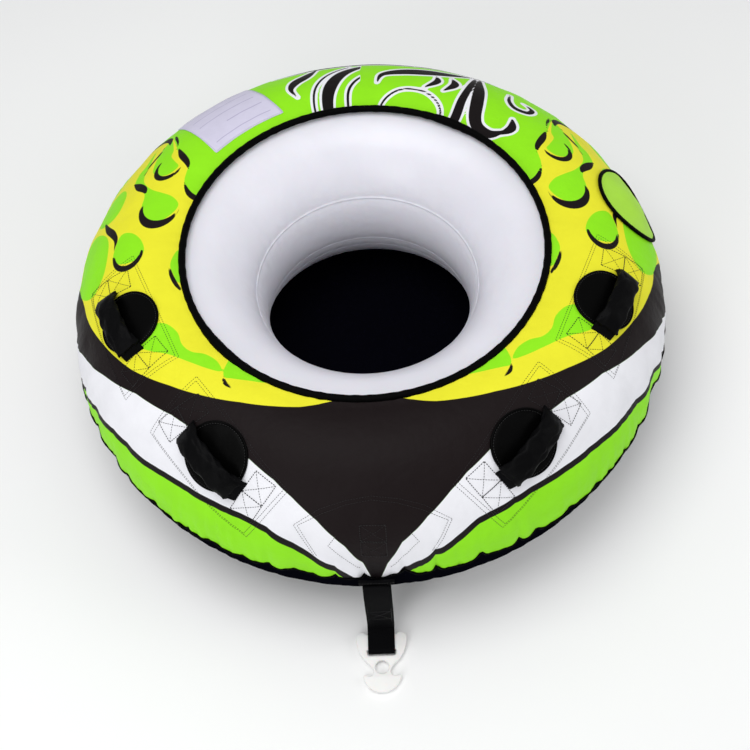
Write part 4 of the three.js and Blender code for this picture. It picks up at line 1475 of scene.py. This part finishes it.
def make_tow_strap():
    """The doubled strap, in two lengths: one bends where it leaves the tube, the other at the hook."""
    count = len(STRAP_LINE)
    centres = np.column_stack([0.0012 * np.sin(STRAP_LINE[:, 1] * 14), STRAP_LINE])
    across = np.column_stack([np.ones(count), 0.03 * np.sin(STRAP_LINE[:, 1] * 17), np.zeros(count)])
    across /= np.linalg.norm(across, axis=1)[:, None]
    section = two_ply_section(TOW["width"], TOW["ply"])
    middle = 32
    root = ribbon("tow_strap_root", centres[:middle + 1], across[:middle + 1], section, WEBBING)
    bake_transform(root)
    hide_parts("tow_strap")
    neck = ribbon("tow_strap_neck", centres[middle:], across[middle:], section, WEBBING)
    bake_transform(neck)
    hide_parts("tow_strap")
    make_tow_strap_stitches(centres)


def make_tow_strap_stitches(centres):
    """Two rows down the strap, and a box with a cross where its plies are sewn together."""
    half, top, foot = 0.021, 0.118, 0.076
    proud = TOW["ply"] + 0.0001

    def face_at(z):
        return np.interp(z, STRAP_LINE[::-1, 1], STRAP_LINE[::-1, 0]) - proud

    rows = [centres[26:50] + [x, -proud, 0] for x in (-half, half)]
    for z in (top, foot):
        rows.append(np.array([[x, face_at(z), z] for x in np.linspace(-half, half, 9)]))
    z = np.linspace(top, foot, 12)
    for side in (1, -1):
        rows.append(np.column_stack([side * np.linspace(-half, half, 12), face_at(z), z]))
    runs = [(row, np.broadcast_to([0, -1.0, 0], row.shape)) for row in rows]
    stitches = thread_runs("tow_strap_stitches", runs, radius=0.0006, body="tow_strap")


def make_tow_collar():
    """The folded webbing end that the strap comes out of, sewn into the seam."""
    x = np.linspace(-0.0315, 0.0315, 40)
    centres = np.column_stack([x, -0.5898 + x ** 2 / 1.17, 0.203 + 0.0006 * np.sin(x * 150)])
    turn = np.linspace(0, 2 * np.pi, 28, endpoint=False)
    fold = 1 - 0.16 * np.exp(-(((turn - np.pi) / 0.3) ** 2))
    deep, tall, squareness = 0.0036, 0.0055, 0.6
    section = np.stack([deep * np.sign(np.cos(turn)) * np.abs(np.cos(turn)) ** squareness * fold,
                        tall * np.sign(np.sin(turn)) * np.abs(np.sin(turn)) ** squareness], axis=-1)
    ragged = 1 + 0.05 * np.sin(x * 900)[:, None, None] * [[[1, 1]]]
    piece = ribbon("tow_collar_fold", centres, (0.0, 1.0, 0.0), section[None] * ragged, WEBBING)
    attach(piece, "tube")
    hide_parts("tow_collar")
    runs = []
    for z in (0.1995, 0.2065):
        run = np.column_stack([x, centres[:, 1] - deep, np.full(40, z)])
        runs.append((run, np.broadcast_to([0, -1.0, 0], run.shape)))
    stitches = thread_runs("tow_collar_stitches", runs, radius=0.0006)


def make_tow_anchor():
    """The patch and the web inside the cover that the strap is sewn to."""
    patch_size, web_size = (0.150, 0.118), (TOW["width"], 0.124)
    patch = laid_sheet("tow_anchor_patch", patch_size, (0.0, 0.236), PATCH["top"], PATCH["thickness"],
                       BACKING, follow=cover_relief)
    web = laid_sheet("tow_anchor_web", web_size, (0.0, 0.240), WEB["top"], WEB["thickness"], WEBBING,
                     corner=0.002, follow=cover_relief)
    for piece, node, slot, size in ((patch, "tow_patch", "patch_fabric", patch_size),
                                    (web, "tow_anchor_webbing", "webbing", web_size)):
        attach(piece, "tube")
        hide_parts(node)


def make_nose_stitches():
    """Two bold boxes over the web, and the fine outlines of the patches on the nose."""
    runs = []
    for shift in (0.032, -0.003):
        runs += box_and_cross(0.0, 0.225, 0.0, 0.044, 0.033, shift)
    bold = thread_runs("tow_web_stitches", runs, radius=0.0008)
    outline = []
    for share in (1.0, 0.95):
        arch = [(10.5 * share, 0.249), (14.2 * share, 0.187), (9.7 * share, 0.150 / share),
                (5 * share, 0.132 / share), (0, 0.124 / share)]
        outline.append(chord_run(arch + [(-theta, place) for theta, place in arch[-2::-1]]))
    inner = [(2.6, 0.280), (7.9, 0.220), (6.5, 0.197)]
    outline += [chord_run(inner), chord_run([(-theta, place) for theta, place in inner])]
    fine = thread_runs("tow_patch_stitches", outline, radius=0.0005)


def hook_outline():
    """The hook's edge in mm: one half from the middle of its bar round to its tip, then its mirror image."""
    lobe = [(36 + 11 * math.cos(a), -7 + 11 * math.sin(a)) for a in np.linspace(-0.66, -0.02, 14) * math.pi]
    half = [np.array([[0.5, -14], [15, -14], [29, -14]]), np.array(lobe)]
    for curve in ([(47, -7.7), (48, 14), (34, 34), (26, 40)],
                  [(26, 40), (17, 48), (14.5, 54), (17, 60)],
                  [(17, 60), (19, 65.5), (24, 64.5), (29.5, 62.6)],
                  [(29.5, 62.6), (34.5, 61), (36.4, 65), (34.4, 70)],
                  [(34.4, 70), (29, 85), (15, 95), (0, 95)]):
        half.append(bezier(curve, 12)[1:])
    half = np.vstack(half)
    mirrored = half[-2::-1] * [-1, 1]
    return np.vstack([half, mirrored])


def hook_frame(turn):
    """The hook's place, turned about the ring's right-hand axis."""
    return Matrix.Translation(HOOK_PLACE) @ Matrix.Rotation(math.radians(turn), 4, "X")


def make_hook():
    """A flat moulded hook with rounded edges: drawn as a flat curve with its openings, then thickened."""
    select_none()
    slot = [(-22, 15.4), (22, 15.4), (27, 16.4), (27, 22), (25.5, 25.5), (22, 27), (-22, 27), (-25.5, 25.5),
            (-27, 22), (-27, 16.4)]
    turn = np.linspace(0, 2 * np.pi, 48, endpoint=False)
    hole = np.stack([12.5 * np.cos(turn), 48 + 12.5 * np.sin(turn)], axis=-1)
    data = bpy.data.curves.new("tow_hook_moulding", "CURVE")
    data.dimensions = "2D"
    data.fill_mode = "BOTH"
    for outline in (hook_outline(), slot, hole):
        spline = data.splines.new("POLY")
        spline.points.add(len(outline) - 1)
        for point, (x, y) in zip(spline.points, outline):
            point.co = (x * MM, y * MM, 0, 1)
        spline.use_cyclic_u = True
    half_thickness, rounding = 0.0044, 0.0018
    data.extrude = half_thickness - rounding
    data.bevel_depth = rounding
    data.bevel_resolution = 3
    data.offset = -rounding
    hook = bpy.data.objects.new("tow_hook_moulding", data)
    bpy.context.scene.collection.objects.link(hook)
    active(hook)
    bpy.ops.object.convert(target="MESH")
    hook = bpy.context.object
    finish_moulding(hook, "tow_hook_moulding", HOOK_NYLON, 0.0, hook_frame(180 + HOOK_LEAN))
    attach(hook, "tow_hook")
    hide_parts("tow_hook")


def make_tow_loop():
    """The strap's end, round the hook's bar and back up against itself."""
    ply, out = TOW["ply"], 0.0061
    path = [(0.0226, 0.0152), (0.0222, 0.0125), (0.0200, 0.0100), (0.0150, 0.0082), (0.0080, 0.0069),
            (0.0, 0.0062), (-0.008, out), (-0.015, out)]
    path += [(-0.015 - out * math.sin(a), out * math.cos(a)) for a in np.linspace(0.3, math.pi - 0.3, 9)]
    path += [(-0.015, -out), (-0.005, -out), (0.005, -out), (0.015, -out)]
    path += [(0.0165 + 0.0064 * math.sin(a), -0.0064 * math.cos(a)) for a in np.linspace(0.4, 1.6, 6)]
    path += [(0.0240, 0.0045), (0.0252, 0.0090), (0.0254, 0.0125), (0.0254, 0.0152)]
    fine = curve_through(path, 4)
    centres = np.column_stack([np.zeros(len(fine)), fine])
    loop = ribbon("tow_loop_webbing", centres, (1.0, 0.0, 0.0), flat_section(TOW["width"], ply), WEBBING)
    to_world(loop, hook_frame(HOOK_LEAN))
    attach(loop, "tow_hook")
    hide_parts("tow_loop")


# ---- the studio ----

def make_floor():
    select_none()
    bpy.ops.mesh.primitive_plane_add(size=16, location=(0, 0, -0.0015))
    floor = bpy.context.object
    floor.name = "studio_floor"
    bpy.ops.object.transform_apply(location=True, rotation=True, scale=True)
    floor.data.materials.append(studio_floor())


def make_light(name, place, aim, size, power):
    light = bpy.data.lights.new(name, "AREA")
    light.shape = "DISK"
    light.size = size
    light.energy = power
    lamp = bpy.data.objects.new(name, light)
    bpy.context.scene.collection.objects.link(lamp)
    lamp.location = place
    lamp.rotation_euler = (Vector(aim) - Vector(place)).to_track_quat("-Z", "Y").to_euler()


def make_studio():
    make_floor()
    make_light("top_softbox", (-0.5, -0.4, 3.2), (0, 0, 0.2), 2.2, 43)
    make_light("front_softbox", (-1.6, -3.0, 1.9), (0, -0.2, 0.2), 1.8, 25)
    make_light("side_softbox", (2.9, -0.6, 2.0), (0, 0, 0.2), 1.6, 16)
    world = bpy.data.worlds.new("studio_walls")
    world.use_nodes = True
    walls = world.node_tree.nodes["Background"]
    walls.inputs["Color"].default_value = (0.98, 0.99, 1.0, 1.0)
    walls.inputs["Strength"].default_value = 0.5
    bpy.context.scene.world = world
    bpy.context.scene.view_settings.view_transform = "Standard"


def make_camera():
    """A long lens from above the tow end, held with a slight roll."""
    azimuth, elevation, roll = math.radians(2.66), math.radians(54.52), math.radians(-4.75)
    distance, aim = 2.4, Vector((0, 0, -0.058))
    level = math.cos(elevation)
    away = Vector((math.sin(azimuth) * level, -math.cos(azimuth) * level, math.sin(elevation)))
    place = away * distance + Vector((0, 0, HALF_HEIGHT))
    forward = (aim - place).normalized()
    right = forward.cross(Vector((0, 0, 1))).normalized()
    up = right.cross(forward)
    across = math.cos(roll) * right + math.sin(roll) * up
    upward = math.cos(roll) * up - math.sin(roll) * right
    camera = bpy.data.objects.new("camera", bpy.data.cameras.new("camera"))
    camera.data.lens = 57.5
    camera.data.sensor_width = 36
    camera.matrix_world = Matrix.Translation(place) @ Matrix([across, upward, -forward]).transposed().to_4x4()
    bpy.context.scene.collection.objects.link(camera)
    bpy.context.scene.camera = camera


make_camera()
make_studio()
make_bladder()
make_top_cover()
make_base_cover()
make_hem_binding()
make_seam_welt()
make_grips()
make_valve()
make_valve_hole_tape()
make_flap_cloth()
make_flap_piping()
make_flap_stitches()
make_label()
make_tow_anchor()
make_nose_stitches()
make_tow_collar()
make_tow_strap()
make_tow_loop()
make_hook()
